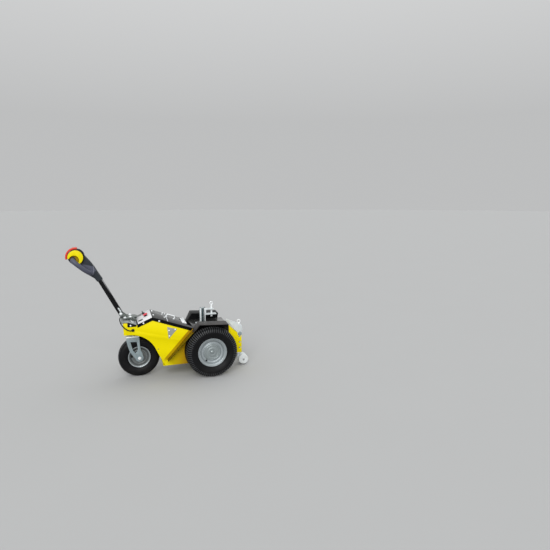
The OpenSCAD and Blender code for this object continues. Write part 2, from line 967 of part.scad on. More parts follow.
module head_pod() {
    s = head_sections;
    points = [for (i = [0:len(s) - 1], k = [0:head_sides - 1])
        [s[i][1] + s[i][2] * rounded(cos(k * 360 / head_sides), s[i][4]),
            s[i][3] * rounded(sin(k * 360 / head_sides), s[i][4]), s[i][0]]];
    walls = [for (i = [0:len(s) - 2], k = [0:head_sides - 1])
        [i * head_sides + k, i * head_sides + (k + 1) % head_sides,
            (i + 1) * head_sides + (k + 1) % head_sides, (i + 1) * head_sides + k]];
    first = [for (k = [head_sides - 1:-1:0]) k];
    last = [for (k = [0:head_sides - 1]) (len(s) - 1) * head_sides + k];
    polyhedron(points = points, faces = [for (f = concat(walls, [first, last])) reversed(f)]);
}

// One moulding: the pod, the loops of the side grips and the bezels behind the thumb knobs
bezel_y = knob_y - knob_t / 2 - fit;
bezel_t = 12;
bezel_shift = 4;
module head_housing() {
    color("dimgray")
        on_tiller()
            difference() {
                union() {
                    head_pod();
                    for (side = [-1, 1])
                        swept([for (p = smooth(grip_route, 3)) [p[0], side * p[1], p[2]]],
                            grip_r, 12, [1, 0, 0.2]);
                    for (y = [-bezel_y, bezel_y - bezel_t])
                        translate([knob_v - bezel_shift, y + bezel_t, knob_u])
                            rotate([90, 0, 0])
                                cylinder(r = knob_r + 4, h = bezel_t);
                }
                translate([-tiller_tube / 2, -tiller_tube / 2, tiller_len - 72])
                    cube([tiller_tube, tiller_tube, 72]);
            }
}

// Each knob is a kidney that leaves room for the grip's front end
notch_r = 36;
module knob_outline() {
    difference() {
        translate([knob_v, knob_u])
            circle(r = knob_r);
        translate([knob_v + 18, knob_u - 13]) {
            circle(r = notch_r);
            polygon([
                [0, 0],
                [-19, -notch_r],
                [-19, -2 * notch_r],
                [2 * notch_r, -2 * notch_r],
                [2 * notch_r, 41],
                [22, 26]
            ]);
        }
    }
}

module thumb_knobs() {
    color("yellow")
        on_tiller()
            for (y = [-knob_y - knob_t / 2, knob_y - knob_t / 2])
                translate([0, y + knob_t, 0])
                    rotate([90, 0, 0])
                        linear_extrude(height = knob_t)
                            knob_outline();
}

// Red safety pad that wraps the tip of the head
module belly_button() {
    pad_w = 46;
    from_angle = 14;
    to_angle = 128;
    r = head_tip_r + pad_t;
    color("red")
        on_tiller()
            translate([knob_v, pad_w / 2, knob_u])
                rotate([90, 0, 0])
                    linear_extrude(height = pad_w)
                        difference() {
                            intersection() {
                                circle(r = r);
                                polygon([
                                    [0, 0],
                                    2 * r * [cos(from_angle), sin(from_angle)],
                                    2 * r * [cos(70), sin(70)],
                                    2 * r * [cos(to_angle), sin(to_angle)]
                                ]);
                            }
                            circle(r = head_tip_r);
                        }
}

// Rear deck, rear plate and mudguards

module rear_deck() {
    color("dimgray")
        from_axle()
            translate([body_rear_x, -body_w / 2, rear_deck_z - cover_t])
                cube([hood_rear_x - 1 - body_rear_x, body_w, cover_t]);
}

module rear_plate() {
    color("gold")
        from_axle()
            translate([body_rear_x, -inner_w / 2, body_rear_z])
                cube([sheet_t, inner_w, rear_deck_z - cover_t - body_rear_z]);
}

// Outer edge of the mudguard's front plate: distance from the middle plane at each height
guard_taper = [
    [mudguard_y, mudguard_bend_z - 2],
    [mudguard_y - 27, mudguard_bend_z - 53],
    [mudguard_y - 47, mudguard_bend_z - 85],
    [mudguard_y - 69, mudguard_front_z],
    [mudguard_y - 69, mudguard_front_z - 17]
];
module mudguard(side) {
    wall_y = cover_w / 2;
    color("black")
        from_axle()
            mirror([0, side > 0 ? 0 : 1, 0])
                difference() {
                    union() {
                        plate_xz(wall_y, mudguard_y - wall_y)
                            strip(guard_line, cover_t);
                        plate_xz(wall_y, cover_t)
                            polygon([
                                guard_line[0],
                                guard_line[1],
                                guard_line[2],
                                guard_line[3],
                                guard_line[4],
                                [guard_line[4][0], rear_deck_z - 20],
                                [120, rear_deck_z - 20],
                                guard_line[0] - [28, 0]
                            ]);
                    }
                    translate([mudguard_bend_x - 20, 0, 0])
                        rotate([90, 0, 90])
                            linear_extrude(height = 320)
                                polygon(concat(guard_taper, [for (i = [4, 0]) guard_taper[i] + [100, 0]]));
                }
}

module mudguard_left() {
    mudguard(1);
}

module mudguard_right() {
    mudguard(-1);
}

// Lower coupling

hitch_depth = 42;
module hitch_outline() {
    polygon([
        [body_rear_x, hitch_top_z],
        [body_rear_x - 14, hitch_top_z - 5],
        [hitch_rear_x + hitch_depth, hitch_step_z],
        [hitch_rear_x, hitch_step_z],
        [hitch_rear_x, hitch_bottom_z],
        [hitch_rear_x + hitch_depth, hitch_bottom_z],
        [body_rear_x, hitch_bottom_z + 82]
    ]);
}

module hitch_column() {
    color("gold")
        from_axle()
            difference() {
                union() {
                    for (y = [-hitch_w / 2, hitch_w / 2 - hitch_t])
                        plate_xz(y, hitch_t)
                            hitch_outline();
                    translate([hitch_rear_x + hitch_depth - hitch_t, -hitch_w / 2, hitch_bottom_z])
                        cube([hitch_t, hitch_w, hitch_step_z - hitch_bottom_z]);
                }
                for (i = [0:2])
                    rod_y(jaw_bolt_x, hitch_hole_z + i * hitch_pitch, hitch_hole_r,
                        -hitch_w / 2 - 1, hitch_w / 2 + 1);
                rod_y(jaw_bolt_x, jaw_bolt_z, jaw_bolt_r, -hitch_w / 2 - 1, hitch_w / 2 + 1);
            }
}

// The jaw is drawn from its bolt near the top of the hitch column
jaw_bolt_x = hitch_rear_x + 17;
jaw_bolt_z = hitch_step_z - 10;
jaw_bolt_r = 6;
jaw_rear_x = jaw_bolt_x - 22;
jaw_tongue_l = 40;
hitch_pin_x = jaw_rear_x + jaw_tongue_l / 2;
module hitch_jaw() {
    out_y = hitch_w / 2 + fit;
    color("gainsboro")
        from_axle()
            difference() {
                union() {
                    for (y = [-out_y - jaw_t, out_y])
                        plate_xz(y, jaw_t)
                            polygon([
                                [jaw_bolt_x + 101, jaw_bolt_z + 118],
                                [jaw_bolt_x + 21, jaw_bolt_z + 86],
                                [jaw_rear_x, jaw_bolt_z + 68],
                                [jaw_rear_x, jaw_bolt_z + 14],
                                [jaw_bolt_x + 13, jaw_bolt_z + 2],
                                [jaw_bolt_x + 66, jaw_bolt_z + 64]
                            ]);
                    for (y = [-out_y - jaw_t, out_y])
                        rod_y(jaw_bolt_x, jaw_bolt_z, 20, y, y + jaw_t);
                    for (z = [jaw_bolt_z + 12, jaw_bolt_z + 62])
                        translate([jaw_rear_x, -out_y, z])
                            cube([jaw_tongue_l, 2 * out_y, jaw_t]);
                }
                translate([hitch_pin_x, 0, jaw_bolt_z + 2])
                    cylinder(r = tow_pin_r + fit, h = 80);
                rod_y(jaw_bolt_x, jaw_bolt_z, jaw_bolt_r, -out_y - jaw_t - 1, out_y + jaw_t + 1);
            }
}

module jaw_bolt() {
    end_y = hitch_w / 2 + jaw_t + fit;
    color("slategray")
        from_axle() {
            rod_y(jaw_bolt_x, jaw_bolt_z, jaw_bolt_r, -end_y - 8, end_y + 8);
            for (y = [-end_y - 8, end_y])
                rod_y(jaw_bolt_x, jaw_bolt_z, 17, y, y + 8);
        }
}

// A drop pin with a ring at its top
module drop_pin(x, low, high, ring_r, wire_r) {
    from_axle() {
        translate([x, 0, low])
            cylinder(r = tow_pin_r, h = high - low);
        translate([x, 0, high + ring_r])
            rotate([90, 0, 0])
                rotate_extrude()
                    translate([ring_r, 0])
                        circle(r = wire_r, $fn = 24);
    }
}

module hitch_pin() {
    color("gainsboro")
        drop_pin(hitch_pin_x, jaw_bolt_z + 12, jaw_bolt_z + 84, 14, 4);
}

// Upper coupling

module upper_post() {
    wall = 9;
    rib_t = 6;
    foot_l = 38;
    post_h = post_top_z - rear_deck_z;
    color("lightsteelblue")
        from_axle() {
            translate([post_front_x - post_d, -post_w / 2, rear_deck_z]) {
                difference() {
                    cube([post_d, post_w, post_h]);
                    translate([wall, wall, -1])
                        cube([post_d - 2 * wall, post_w, post_h + 2]);
                }
                translate([(post_d - rib_t) / 2, wall, 0])
                    cube([rib_t, post_w - wall - 6, post_h - 4]);
            }
            translate([post_front_x, -post_w / 2, rear_deck_z])
                cube([foot_l, post_w, 6]);
        }
}

upper_pin_x = -44;
module upper_jaw() {
    rear_face = post_front_x - post_d;
    low_z = upper_jaw_z - upper_mouth - jaw_t;
    top_rear_x = upper_pin_x - 16;
    low_rear_x = upper_pin_x - 38;
    color("gainsboro")
        from_axle()
            difference() {
                union() {
                    translate([top_rear_x, -post_w / 2, upper_jaw_z])
                        cube([rear_face - top_rear_x, post_w, jaw_t]);
                    translate([low_rear_x, -post_w / 2, low_z])
                        cube([rear_face - low_rear_x, post_w, jaw_t]);
                    translate([rear_face - jaw_t, -post_w / 2, low_z])
                        cube([jaw_t, post_w, upper_mouth + 2 * jaw_t]);
                }
                translate([upper_pin_x, 0, low_z - 1])
                    cylinder(r = tow_pin_r + fit, h = upper_mouth + 2 * jaw_t + 2);
            }
}

module upper_pin() {
    color("gainsboro")
        drop_pin(upper_pin_x, upper_jaw_z - 64, upper_jaw_z + 38, 12, 4);
}

// Anti-tip wheels under the hitch column

tip_web = 26;
tip_plate_t = 6;
tip_axle_r = 6;
tip_side_gap = 1;
module anti_tip_bracket() {
    tip_end_y = tip_web / 2 + tip_side_gap + tip_wheel_w + 5;
    color("gainsboro")
        from_axle() {
            across(tip_web)
                polygon([
                    [hitch_rear_x, hitch_bottom_z - tip_plate_t],
                    [hitch_rear_x + 34, hitch_bottom_z - tip_plate_t],
                    [hitch_rear_x + 34, tip_axle_z - 2],
                    [tip_axle_x + 14, tip_axle_z - 16],
                    [tip_axle_x, tip_axle_z - 16],
                    [tip_axle_x - 14, tip_axle_z],
                    [hitch_rear_x, hitch_bottom_z - 22]
                ]);
            translate([hitch_rear_x, -hitch_w / 2, hitch_bottom_z - tip_plate_t])
                cube([hitch_depth, hitch_w, tip_plate_t]);
            rod_y(tip_axle_x, tip_axle_z, tip_axle_r - 0.05, -tip_end_y, tip_end_y);
        }
}

module anti_tip_wheels() {
    inner_y = tip_web / 2 + tip_side_gap;
    color("white")
        from_axle()
            for (y = [-inner_y - tip_wheel_w, inner_y])
                difference() {
                    rod_y(tip_axle_x, tip_axle_z, tip_wheel_r, y, y + tip_wheel_w);
                    rod_y(tip_axle_x, tip_axle_z, tip_axle_r, y - 1, y + tip_wheel_w + 1);
                }
}

// Cable from the tiller bracket to its gland in the left side panel

gland_x = 608;
gland_z = 421;
gland_bore_r = 8;
cable_r = 4;
clip_z = bracket_z + base_t + clip_h / 2;
cable_points = [
    [clip_x + fit, clip_y, clip_z],
    [clip_x + 5, clip_y, clip_z],
    [clip_x + 11, clip_y, clip_z],
    [690, 66, 514],
    [700, 100, 515],
    [702, 134, 505],
    [695, 154, 482],
    [678, 160, 456],
    [655, 159, 434],
    [638, 156, 424],
    [626, 155, 421],
    [620, 155, 421],
    [615.3, 155, 421]
];
module tiller_cable() {
    color("black")
        from_axle()
            swept(smooth(cable_points, 4), cable_r, 10, [0.2, 0.3, 1]);
}

module cable_gland() {
    color("black")
        from_axle() {
            rod_y(gland_x, gland_z, gland_bore_r, panel_y - sheet_t - 4, panel_y);
            rod_y(gland_x, gland_z, 12, panel_y, panel_y + 4);
            rod_y(gland_x, gland_z, 7, panel_y + 4, panel_y + 10);
            translate([gland_x - 7, panel_y + 10, gland_z])
                rotate([0, 90, 0])
                    cylinder(r = 7, h = 14);
        }
}

// Grey triangular cover plate on the left side panel
corner_points = [[345, 426], [266, 403], [335, 326]];
module corner_plate() {
    color("gray")
        from_axle()
            plate_xz(panel_y, 2)
                polygon(corner_points);
}

side_panel_left();
side_panel_right();
nose_plate();
wheel_well();
floor_plate();
front_deck();
hood();
hatch_cover();
control_panel();
emergency_stop();
key_switch();
battery_gauge();
hood_latch();
hood_handle();
battery_block();
transaxle();
mudguard_left();
mudguard_right();
rear_deck();
rear_plate();
hitch_column();
hitch_jaw();
jaw_bolt();
hitch_pin();
upper_post();
upper_jaw();
upper_pin();
anti_tip_bracket();
anti_tip_wheels();
rear_tyre_left();
rear_rim_left();
rear_tyre_right();
rear_rim_right();
front_tyre();
front_rim();
front_axle();
steering_fork();
steering_head();
steering_column();
tiller_bracket();
tiller_shaft();
head_housing();
thumb_knobs();
belly_button();
tiller_cable();
cable_gland();
corner_plate();
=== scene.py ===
"""Looks of the walk-behind electric tow tug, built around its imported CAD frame.

Places are written in millimetres: x forward from the rear axle, y to the left, z up from the
floor. place() turns them into the frame's metres.
"""
import json
import math

import bmesh
import bpy
from mathutils import Matrix, Vector
from mathutils.bvhtree import BVHTree

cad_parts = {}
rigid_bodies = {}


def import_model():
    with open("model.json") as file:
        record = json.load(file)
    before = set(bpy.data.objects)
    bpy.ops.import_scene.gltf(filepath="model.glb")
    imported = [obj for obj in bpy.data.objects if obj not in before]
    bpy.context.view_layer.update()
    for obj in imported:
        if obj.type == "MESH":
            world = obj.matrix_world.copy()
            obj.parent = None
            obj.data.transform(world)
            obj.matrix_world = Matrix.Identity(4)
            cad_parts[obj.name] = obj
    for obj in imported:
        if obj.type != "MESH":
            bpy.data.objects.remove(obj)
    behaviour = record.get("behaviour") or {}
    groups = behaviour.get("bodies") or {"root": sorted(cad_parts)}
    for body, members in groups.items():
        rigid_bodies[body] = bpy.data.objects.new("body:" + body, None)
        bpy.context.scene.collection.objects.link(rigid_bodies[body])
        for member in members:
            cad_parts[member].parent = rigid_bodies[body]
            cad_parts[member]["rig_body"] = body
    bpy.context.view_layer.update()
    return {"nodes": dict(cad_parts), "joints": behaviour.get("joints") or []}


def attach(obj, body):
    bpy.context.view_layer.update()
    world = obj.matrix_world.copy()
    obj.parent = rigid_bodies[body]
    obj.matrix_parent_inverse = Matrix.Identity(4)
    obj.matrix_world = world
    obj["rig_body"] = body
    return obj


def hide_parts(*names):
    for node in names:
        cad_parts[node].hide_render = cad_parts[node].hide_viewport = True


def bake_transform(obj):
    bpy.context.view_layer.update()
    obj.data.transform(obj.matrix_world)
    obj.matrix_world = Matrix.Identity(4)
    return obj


MM = 0.001
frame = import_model()
JOINTS = {joint["name"]: joint for joint in frame["joints"]}
AXLE = Vector(JOINTS["rear_wheel_left_spin"]["pos_m"])
FRONT_AXLE = Vector(JOINTS["front_wheel_spin"]["pos_m"])
PIVOT = Vector(JOINTS["tiller_tilt"]["pos_m"])


def place(x, y, z):
    """A point in the frame, from millimetres off the rear axle, the middle plane and the floor."""
    return Vector((AXLE.x + x * MM, y * MM, z * MM))


def show(thing):
    bpy.context.scene.collection.objects.link(thing)


# Camera

IMAGE_SIDE = 550
FOCAL_PIXELS = 480
SENSOR_WIDTH = 36
CAMERA_PLACE = place(722, 3956, 1443.5)
CAMERA_HEADING = Vector((-0.3205, -0.9472))
CAMERA_PITCH = math.radians(9.08)


def make_camera():
    data = bpy.data.cameras.new("camera")
    data.sensor_width = SENSOR_WIDTH
    data.lens = SENSOR_WIDTH * FOCAL_PIXELS / IMAGE_SIDE
    camera = bpy.data.objects.new("camera", data)
    flat = CAMERA_HEADING.normalized() * math.cos(CAMERA_PITCH)
    look = Vector((flat.x, flat.y, -math.sin(CAMERA_PITCH)))
    camera.location = CAMERA_PLACE
    camera.rotation_euler = look.to_track_quat("-Z", "Y").to_euler()
    show(camera)
    bpy.context.scene.camera = camera


make_camera()


# Mudguards' front plates from knee to foot, and the painted shade and painted shadow on the panels
# beside them.
# Ranges are in metres; after them come the shares at their ends where these are not 0 and 1.
GUARD_KNEE = (148, 0, 380)
GUARD_FOOT = (352, 0, 157)
GUARD_RUN = Vector((GUARD_FOOT[0] - GUARD_KNEE[0], GUARD_FOOT[2] - GUARD_KNEE[2])).normalized()
GUARD_NORMAL = (-GUARD_RUN.y, GUARD_RUN.x)
PLATE_SHADE = (0.004, 0.0, 0.0, 0.85)
WHEEL_SHADE = (0.38, 0.21, 0.15, 1.0)
SHADE_EDGE = (-0.024, -0.019)
SHADE_FOOT = (0.330, 0.300)
SHADE_REAR = (0.02, 0.10)
WHEEL_SHADOW_EDGE = (0.242, 0.236)
TAPER_REAR = -0.03
TAPER_FRONT = 0.10
TAPER_DEPTH = 0.026


# Shader helpers

def feed(tree, socket, value):
    """Gives a socket a value or the output of another node."""
    if isinstance(value, bpy.types.NodeSocket):
        tree.links.new(value, socket)
    else:
        socket.default_value = value


def add_node(tree, kind, settings=None, **sockets):
    """A shader node with its settings and its sockets, which take values or other sockets."""
    node = tree.nodes.new("ShaderNode" + kind)
    for key, value in (settings or {}).items():
        setattr(node, key, value)
    for key, value in sockets.items():
        feed(tree, node.inputs[key.replace("_", " ")], value)
    return node


def coordinates(tree, stretch=(1, 1, 1)):
    """Object coordinates, stretched, so that patterns move with their piece."""
    source = add_node(tree, "TexCoord").outputs["Object"]
    return add_node(tree, "Mapping", Vector=source, Scale=stretch).outputs["Vector"]


def part_of(tree, vector, axis):
    return add_node(tree, "SeparateXYZ", Vector=vector).outputs[axis]


def noise(tree, scale, detail=2.0, stretch=(1, 1, 1)):
    return add_node(tree, "TexNoise", Vector=coordinates(tree, stretch), Scale=scale,
                    Detail=detail).outputs["Fac"]


def spread(tree, value, low, high, to_low=0.0, to_high=1.0):
    return add_node(tree, "MapRange", Value=value, From_Min=low, From_Max=high,
                    To_Min=to_low, To_Max=to_high).outputs["Result"]


def calculated(tree, operation, *values):
    node = add_node(tree, "Math", {"operation": operation})
    for socket, value in zip(node.inputs, values):
        feed(tree, socket, value)
    return node.outputs[0]


def product(tree, first, second):
    return calculated(tree, "MULTIPLY", first, second)


def vector_result(tree, operation, first, second, output="Value"):
    node = add_node(tree, "VectorMath", {"operation": operation})
    feed(tree, node.inputs[0], first)
    feed(tree, node.inputs[1], second)
    return node.outputs[output]


def height_above_floor(tree):
    return part_of(tree, coordinates(tree), "Z")


def guard_shade(tree):
    """The share of shade on the side panels along the mudguards' front plates and the wheels."""
    source = coordinates(tree)

    def along(start, direction):
        offset = vector_result(tree, "SUBTRACT", source, start, "Vector")
        return vector_result(tree, "DOT_PRODUCT", offset, direction)

    knee = place(*GUARD_KNEE)
    behind = along(knee, (-GUARD_NORMAL[0], 0, -GUARD_NORMAL[1]))
    down = along(knee, (GUARD_RUN.x, 0, GUARD_RUN.y))
    ahead = along(AXLE, (1, 0, 0))
    deepest = calculated(tree, "MAXIMUM", spread(tree, behind, *PLATE_SHADE),
                         spread(tree, ahead, *WHEEL_SHADE))
    within = product(tree, spread(tree, behind, *SHADE_EDGE), spread(tree, down, *SHADE_FOOT))
    within = product(tree, within, spread(tree, ahead, *SHADE_REAR))
    return product(tree, within, deepest)


def painted_wheel_shadow(tree):
    """The share of painted shadow on the side panels close round the rear wheels, narrower ahead
    of them.
    """
    flat = coordinates(tree, (1, 0, 1))
    distance = vector_result(tree, "DISTANCE", flat, (AXLE.x, 0, AXLE.z))
    taper = spread(tree, part_of(tree, flat, "X"), AXLE.x + TAPER_REAR, AXLE.x + TAPER_FRONT,
                   0.0, TAPER_DEPTH)
    return spread(tree, calculated(tree, "ADD", distance, taper), *WHEEL_SHADOW_EDGE)


def mixed(tree, share, first, second):
    """One colour blended into another; the colours are tuples or sockets."""
    node = add_node(tree, "Mix", {"data_type": "RGBA"})
    for name, value in (("Factor", share), ("A", first), ("B", second)):
        socket = [s for s in node.inputs if s.name == name and s.enabled][0]
        feed(tree, socket, (*value, 1) if isinstance(value, tuple) else value)
    return [s for s in node.outputs if s.enabled][0]


def scaled(colour, factor):
    return tuple(channel * factor for channel in colour)


# Noise scales, and the ranges of noise over which each effect comes in
COAT_ROUGHNESS = 0.08
PATCH_RANGE = (0.3, 0.7)
STAIN_FINENESS = 6
STAIN_RANGE = (0.56, 0.72)
SCRATCH_SCALE = 60.0
SCRATCH_STRETCH = (1, 1, 14)
SCRATCH_RANGE = (0.66, 0.70)
SCRATCH_TONE = (0.45, 0.45, 0.44)
FILM_SCALE = 24.0
FILM_RANGE = (0.36, 0.66)
POLISH_SCALE = 40.0
POLISH_RANGE = (0.25, 0.75)
BUMP_DEPTH = 0.001
BAND_FADE = 0.0005
PALE_FADE = 0.02
# A painted highlight lies on edges where the surface turns rearward, between these two ranges
HIGHLIGHT_START = (-0.12, -0.25)
HIGHLIGHT_END = (-0.70, -0.60)
EDGE_HIGHLIGHT = (0.85, 0.86, 0.88)
ROAD_DIRT = (0.20, 0.165, 0.12)
# Colour of the painted shadow round the rear wheels
WHEEL_SHADOW_COLOUR = (0.016, 0.012, 0.005)


def material(name, colour, roughness, metallic=0.0, coat=0.0, variation=0.06, patch_scale=7.0,
             grain_scale=700.0, grain=0.03, stains=None, dust=None, scratches=0.0, specular=0.5,
             painted_shade=None, painted_edge_highlight=None, painted_top_highlight=None, pale_behind=None):
    """A procedural finish: patchy colour, grain, stains, scratches, and road dirt near the floor.

    stains is a colour and its share, and dust is the height in metres below which it lies and its
    share. painted_shade is the colour of painted shade on the panel between a mudguard's front and
    its wheel, and it also brings a painted shadow close round the rear wheels.
    painted_edge_highlight is a pair of heights between which a near-white painted highlight lies
    on rearward edges.
    painted_top_highlight is a height and the colour of a painted highlight above it, and
    pale_behind is a distance behind the rear axle and the colour beyond it.
    """
    mat = bpy.data.materials.new(name)
    mat.use_nodes = True
    tree = mat.node_tree
    shader = tree.nodes["Principled BSDF"]
    for socket, value in (("Metallic", metallic), ("Coat Weight", coat),
                          ("Coat Roughness", COAT_ROUGHNESS), ("Specular IOR Level", specular)):
        shader.inputs[socket].default_value = value
    patches = spread(tree, noise(tree, patch_scale, 3.0), *PATCH_RANGE)
    tone = mixed(tree, patches, scaled(colour, 1 - variation), scaled(colour, 1 + variation))
    if stains:
        stain_colour, stain_share = stains
        spots = spread(tree, noise(tree, patch_scale * STAIN_FINENESS, 5.0), *STAIN_RANGE)
        tone = mixed(tree, product(tree, spots, stain_share), tone, stain_colour)
    if scratches:
        lines = spread(tree, noise(tree, SCRATCH_SCALE, 4.0, SCRATCH_STRETCH), *SCRATCH_RANGE)
        tone = mixed(tree, product(tree, lines, scratches), tone, SCRATCH_TONE)
    # A painted highlight: another colour above a height
    if painted_top_highlight:
        height, highlight_colour = painted_top_highlight
        above = spread(tree, height_above_floor(tree), height - BAND_FADE, height + BAND_FADE)
        tone = mixed(tree, above, tone, highlight_colour)
    if pale_behind:
        length, pale_colour = pale_behind
        edge = AXLE.x - length
        beyond = spread(tree, part_of(tree, coordinates(tree), "X"), edge + PALE_FADE,
                        edge - PALE_FADE)
        tone = mixed(tree, beyond, tone, pale_colour)
    # A near-white painted highlight on rearward edges between two heights
    if painted_edge_highlight:
        turned = part_of(tree, add_node(tree, "TexCoord").outputs["Normal"], "X")
        rear_edge = product(tree, spread(tree, turned, *HIGHLIGHT_START),
                            spread(tree, turned, *HIGHLIGHT_END))
        highlight_height = spread(tree, height_above_floor(tree), *painted_edge_highlight)
        tone = mixed(tree, product(tree, rear_edge, highlight_height), tone, EDGE_HIGHLIGHT)
    # Painted shade beside the mudguards' front plates, then a painted shadow round the rear wheels
    if painted_shade:
        tone = mixed(tree, guard_shade(tree), tone, painted_shade)
        tone = mixed(tree, painted_wheel_shadow(tree), tone, WHEEL_SHADOW_COLOUR)
    if dust:
        dust_top, dust_share = dust
        reach = spread(tree, height_above_floor(tree), dust_top, 0.0)
        film = product(tree, reach, spread(tree, noise(tree, FILM_SCALE, 6.0), *FILM_RANGE))
        tone = mixed(tree, product(tree, film, dust_share), tone, ROAD_DIRT)
    tree.links.new(tone, shader.inputs["Base Color"])
    polish = spread(tree, noise(tree, POLISH_SCALE, 4.0), *POLISH_RANGE,
                    roughness * 0.8, min(1.0, roughness * 1.25))
    tree.links.new(polish, shader.inputs["Roughness"])
    bump = add_node(tree, "Bump", Height=noise(tree, grain_scale, 2.0), Strength=grain,
                    Distance=BUMP_DEPTH)
    tree.links.new(bump.outputs["Normal"], shader.inputs["Normal"])
    return mat


# Finishes

YELLOW_LOOK = dict(colour=(0.93, 0.785, 0.001), roughness=0.34, variation=0.015, grain=0.05,
                   stains=((0.55, 0.40, 0.02), 0.08), dust=(0.22, 0.12), specular=0.12)
YELLOW = material("yellow_paint", **YELLOW_LOOK)
# The side panels carry painted shade behind the mudguards' front plates and a painted shadow round
# the rear wheels
PANEL_YELLOW = material("panel_yellow", **YELLOW_LOOK, painted_shade=(0.44, 0.25, 0.001))
# Painted shade for the inside of the hitch column, with dark stains
YELLOW_PAINTED_SHADE = material("yellow_painted_shade", (0.20, 0.13, 0.004), 0.55, variation=0.2,
                         stains=((0.03, 0.025, 0.015), 0.6))
BLACK = material("black_paint", (0.006, 0.006, 0.0065), 0.06, variation=0.25, grain=0.01,
                 stains=((0.04, 0.038, 0.034), 0.08), scratches=0.03, specular=0.42)
# The front deck's grey is a painted reflection of the sky on its black paint
DECK_PAINTED_REFLECTION = material("deck_paint", (0.27, 0.295, 0.285), 0.20, variation=0.12, grain=0.02,
                     stains=((0.16, 0.16, 0.15), 0.3), scratches=0.05, specular=0.42)
REAR_DECK = material("rear_deck_paint", (0.030, 0.030, 0.029), 0.10, variation=0.25, grain=0.02,
                     stains=((0.04, 0.038, 0.034), 0.1), scratches=0.05, specular=0.42,
                     pale_behind=(0.105, (0.20, 0.20, 0.195)))
BLACK_SIDE = material("black_side", (0.0035, 0.0035, 0.004), 0.35, variation=0.25, grain=0.05,
                      stains=((0.02, 0.019, 0.017), 0.10), scratches=0.02, specular=0.10)
GUARD_TOP = material("guard_paint", (0.022, 0.019, 0.018), 0.42, variation=0.25, grain=0.05,
                     stains=((0.08, 0.07, 0.062), 0.35), scratches=0.06, specular=0.30)
# The mudguards' front plates take an amber painted reflection of the yellow panels
GUARD_PAINTED_REFLECTION = material("guard_painted_reflection", (0.105, 0.060, 0.001), 0.25, coat=0.15, variation=0.15,
                       grain=0.02, stains=((0.06, 0.05, 0.03), 0.12), scratches=0.05, specular=0.3)
# The tiller shaft's rear edges carry a painted highlight
SHAFT_BLACK = material("shaft_paint", (0.004, 0.004, 0.005), 0.25, variation=0.25, grain=0.03,
                       specular=0.16, painted_edge_highlight=(0.690, 0.865))
BRACKET_GREY = material("bracket_grey", (0.150, 0.172, 0.160), 0.22, metallic=0.1, variation=0.10,
                        stains=((0.08, 0.085, 0.08), 0.3))
PLATE_GREY = material("grey_paint", (0.33, 0.35, 0.31), 0.42, variation=0.05, grain=0.08)
ZINC = material("zinc", (0.74, 0.79, 0.80), 0.36, metallic=0.35, patch_scale=30.0,
                stains=((0.45, 0.47, 0.47), 0.25), scratches=0.10)
BRIGHT_ZINC = material("bright_zinc", (0.90, 0.93, 0.94), 0.28, metallic=0.15, variation=0.04,
                       patch_scale=30.0, stains=((0.60, 0.62, 0.62), 0.15))
# Painted shade for the upper post's recess
ZINC_SHADE = material("zinc_recess", (0.045, 0.085, 0.095), 0.45, metallic=0.3, variation=0.12,
                      stains=((0.02, 0.03, 0.03), 0.4))
# Above this height the fork steel takes a near-white painted highlight, which lights the fork's
# top plate
FORK_STEEL = material("fork_steel", (0.31, 0.38, 0.405), 0.38, metallic=0.45, patch_scale=20.0,
                      stains=((0.24, 0.27, 0.27), 0.3), dust=(0.20, 0.25),
                      painted_top_highlight=(0.3395, (0.90, 0.93, 0.94)))
STEEL = material("bare_steel", (0.55, 0.57, 0.58), 0.28, metallic=0.9, variation=0.08,
                 patch_scale=40.0, stains=((0.30, 0.27, 0.24), 0.25))
RIM = material("silver_rim", (0.37, 0.41, 0.425), 0.36, metallic=0.45, variation=0.05,
               patch_scale=18.0, stains=((0.24, 0.26, 0.26), 0.15))
RIM_HUB = material("rim_hub", (0.29, 0.33, 0.335), 0.36, metallic=0.45, patch_scale=18.0,
                   stains=((0.18, 0.19, 0.19), 0.2))
FRONT_HUB = material("front_rim_hub", (0.165, 0.180, 0.182), 0.36, metallic=0.35, variation=0.08,
                     patch_scale=18.0, stains=((0.26, 0.28, 0.28), 0.3))
CASTING = material("cast_metal", (0.07, 0.075, 0.08), 0.55, metallic=0.3, variation=0.15,
                   grain_scale=260.0, grain=0.35, stains=((0.12, 0.10, 0.08), 0.5))
RUBBER = material("tyre", (0.0045, 0.0047, 0.0055), 0.45, variation=0.20, patch_scale=12.0,
                  grain_scale=420.0, grain=0.20, stains=((0.014, 0.013, 0.012), 0.4),
                  dust=(0.10, 0.05), specular=0.15)
# The raised lugs' lighter rubber is partly dust and partly painted light on the lug tops
LUG_DUST_AND_LIGHT = material("tyre_lugs_dust_and_light", (0.045, 0.048, 0.052), 0.45, variation=0.25, patch_scale=25.0,
                      grain_scale=420.0, grain=0.20, stains=((0.07, 0.067, 0.062), 0.4),
                      dust=(0.10, 0.05), specular=0.40)
BLACK_PLASTIC = material("black_plastic", (0.008, 0.008, 0.009), 0.42, variation=0.15,
                         grain_scale=900.0, grain=0.10, specular=0.22)
MOULDING = material("dark_moulding", (0.028, 0.034, 0.041), 0.38, variation=0.10,
                    grain_scale=1100.0, grain=0.12, specular=0.28)
GRIP = material("grip_moulding", (0.085, 0.092, 0.130), 0.40, variation=0.08,
                grain_scale=1000.0, grain=0.20, specular=0.35)
# A light grey that is a painted highlight on the head's seams
SEAM_HIGHLIGHT = material("seam_painted_highlight", (0.22, 0.23, 0.27), 0.40, variation=0.08)
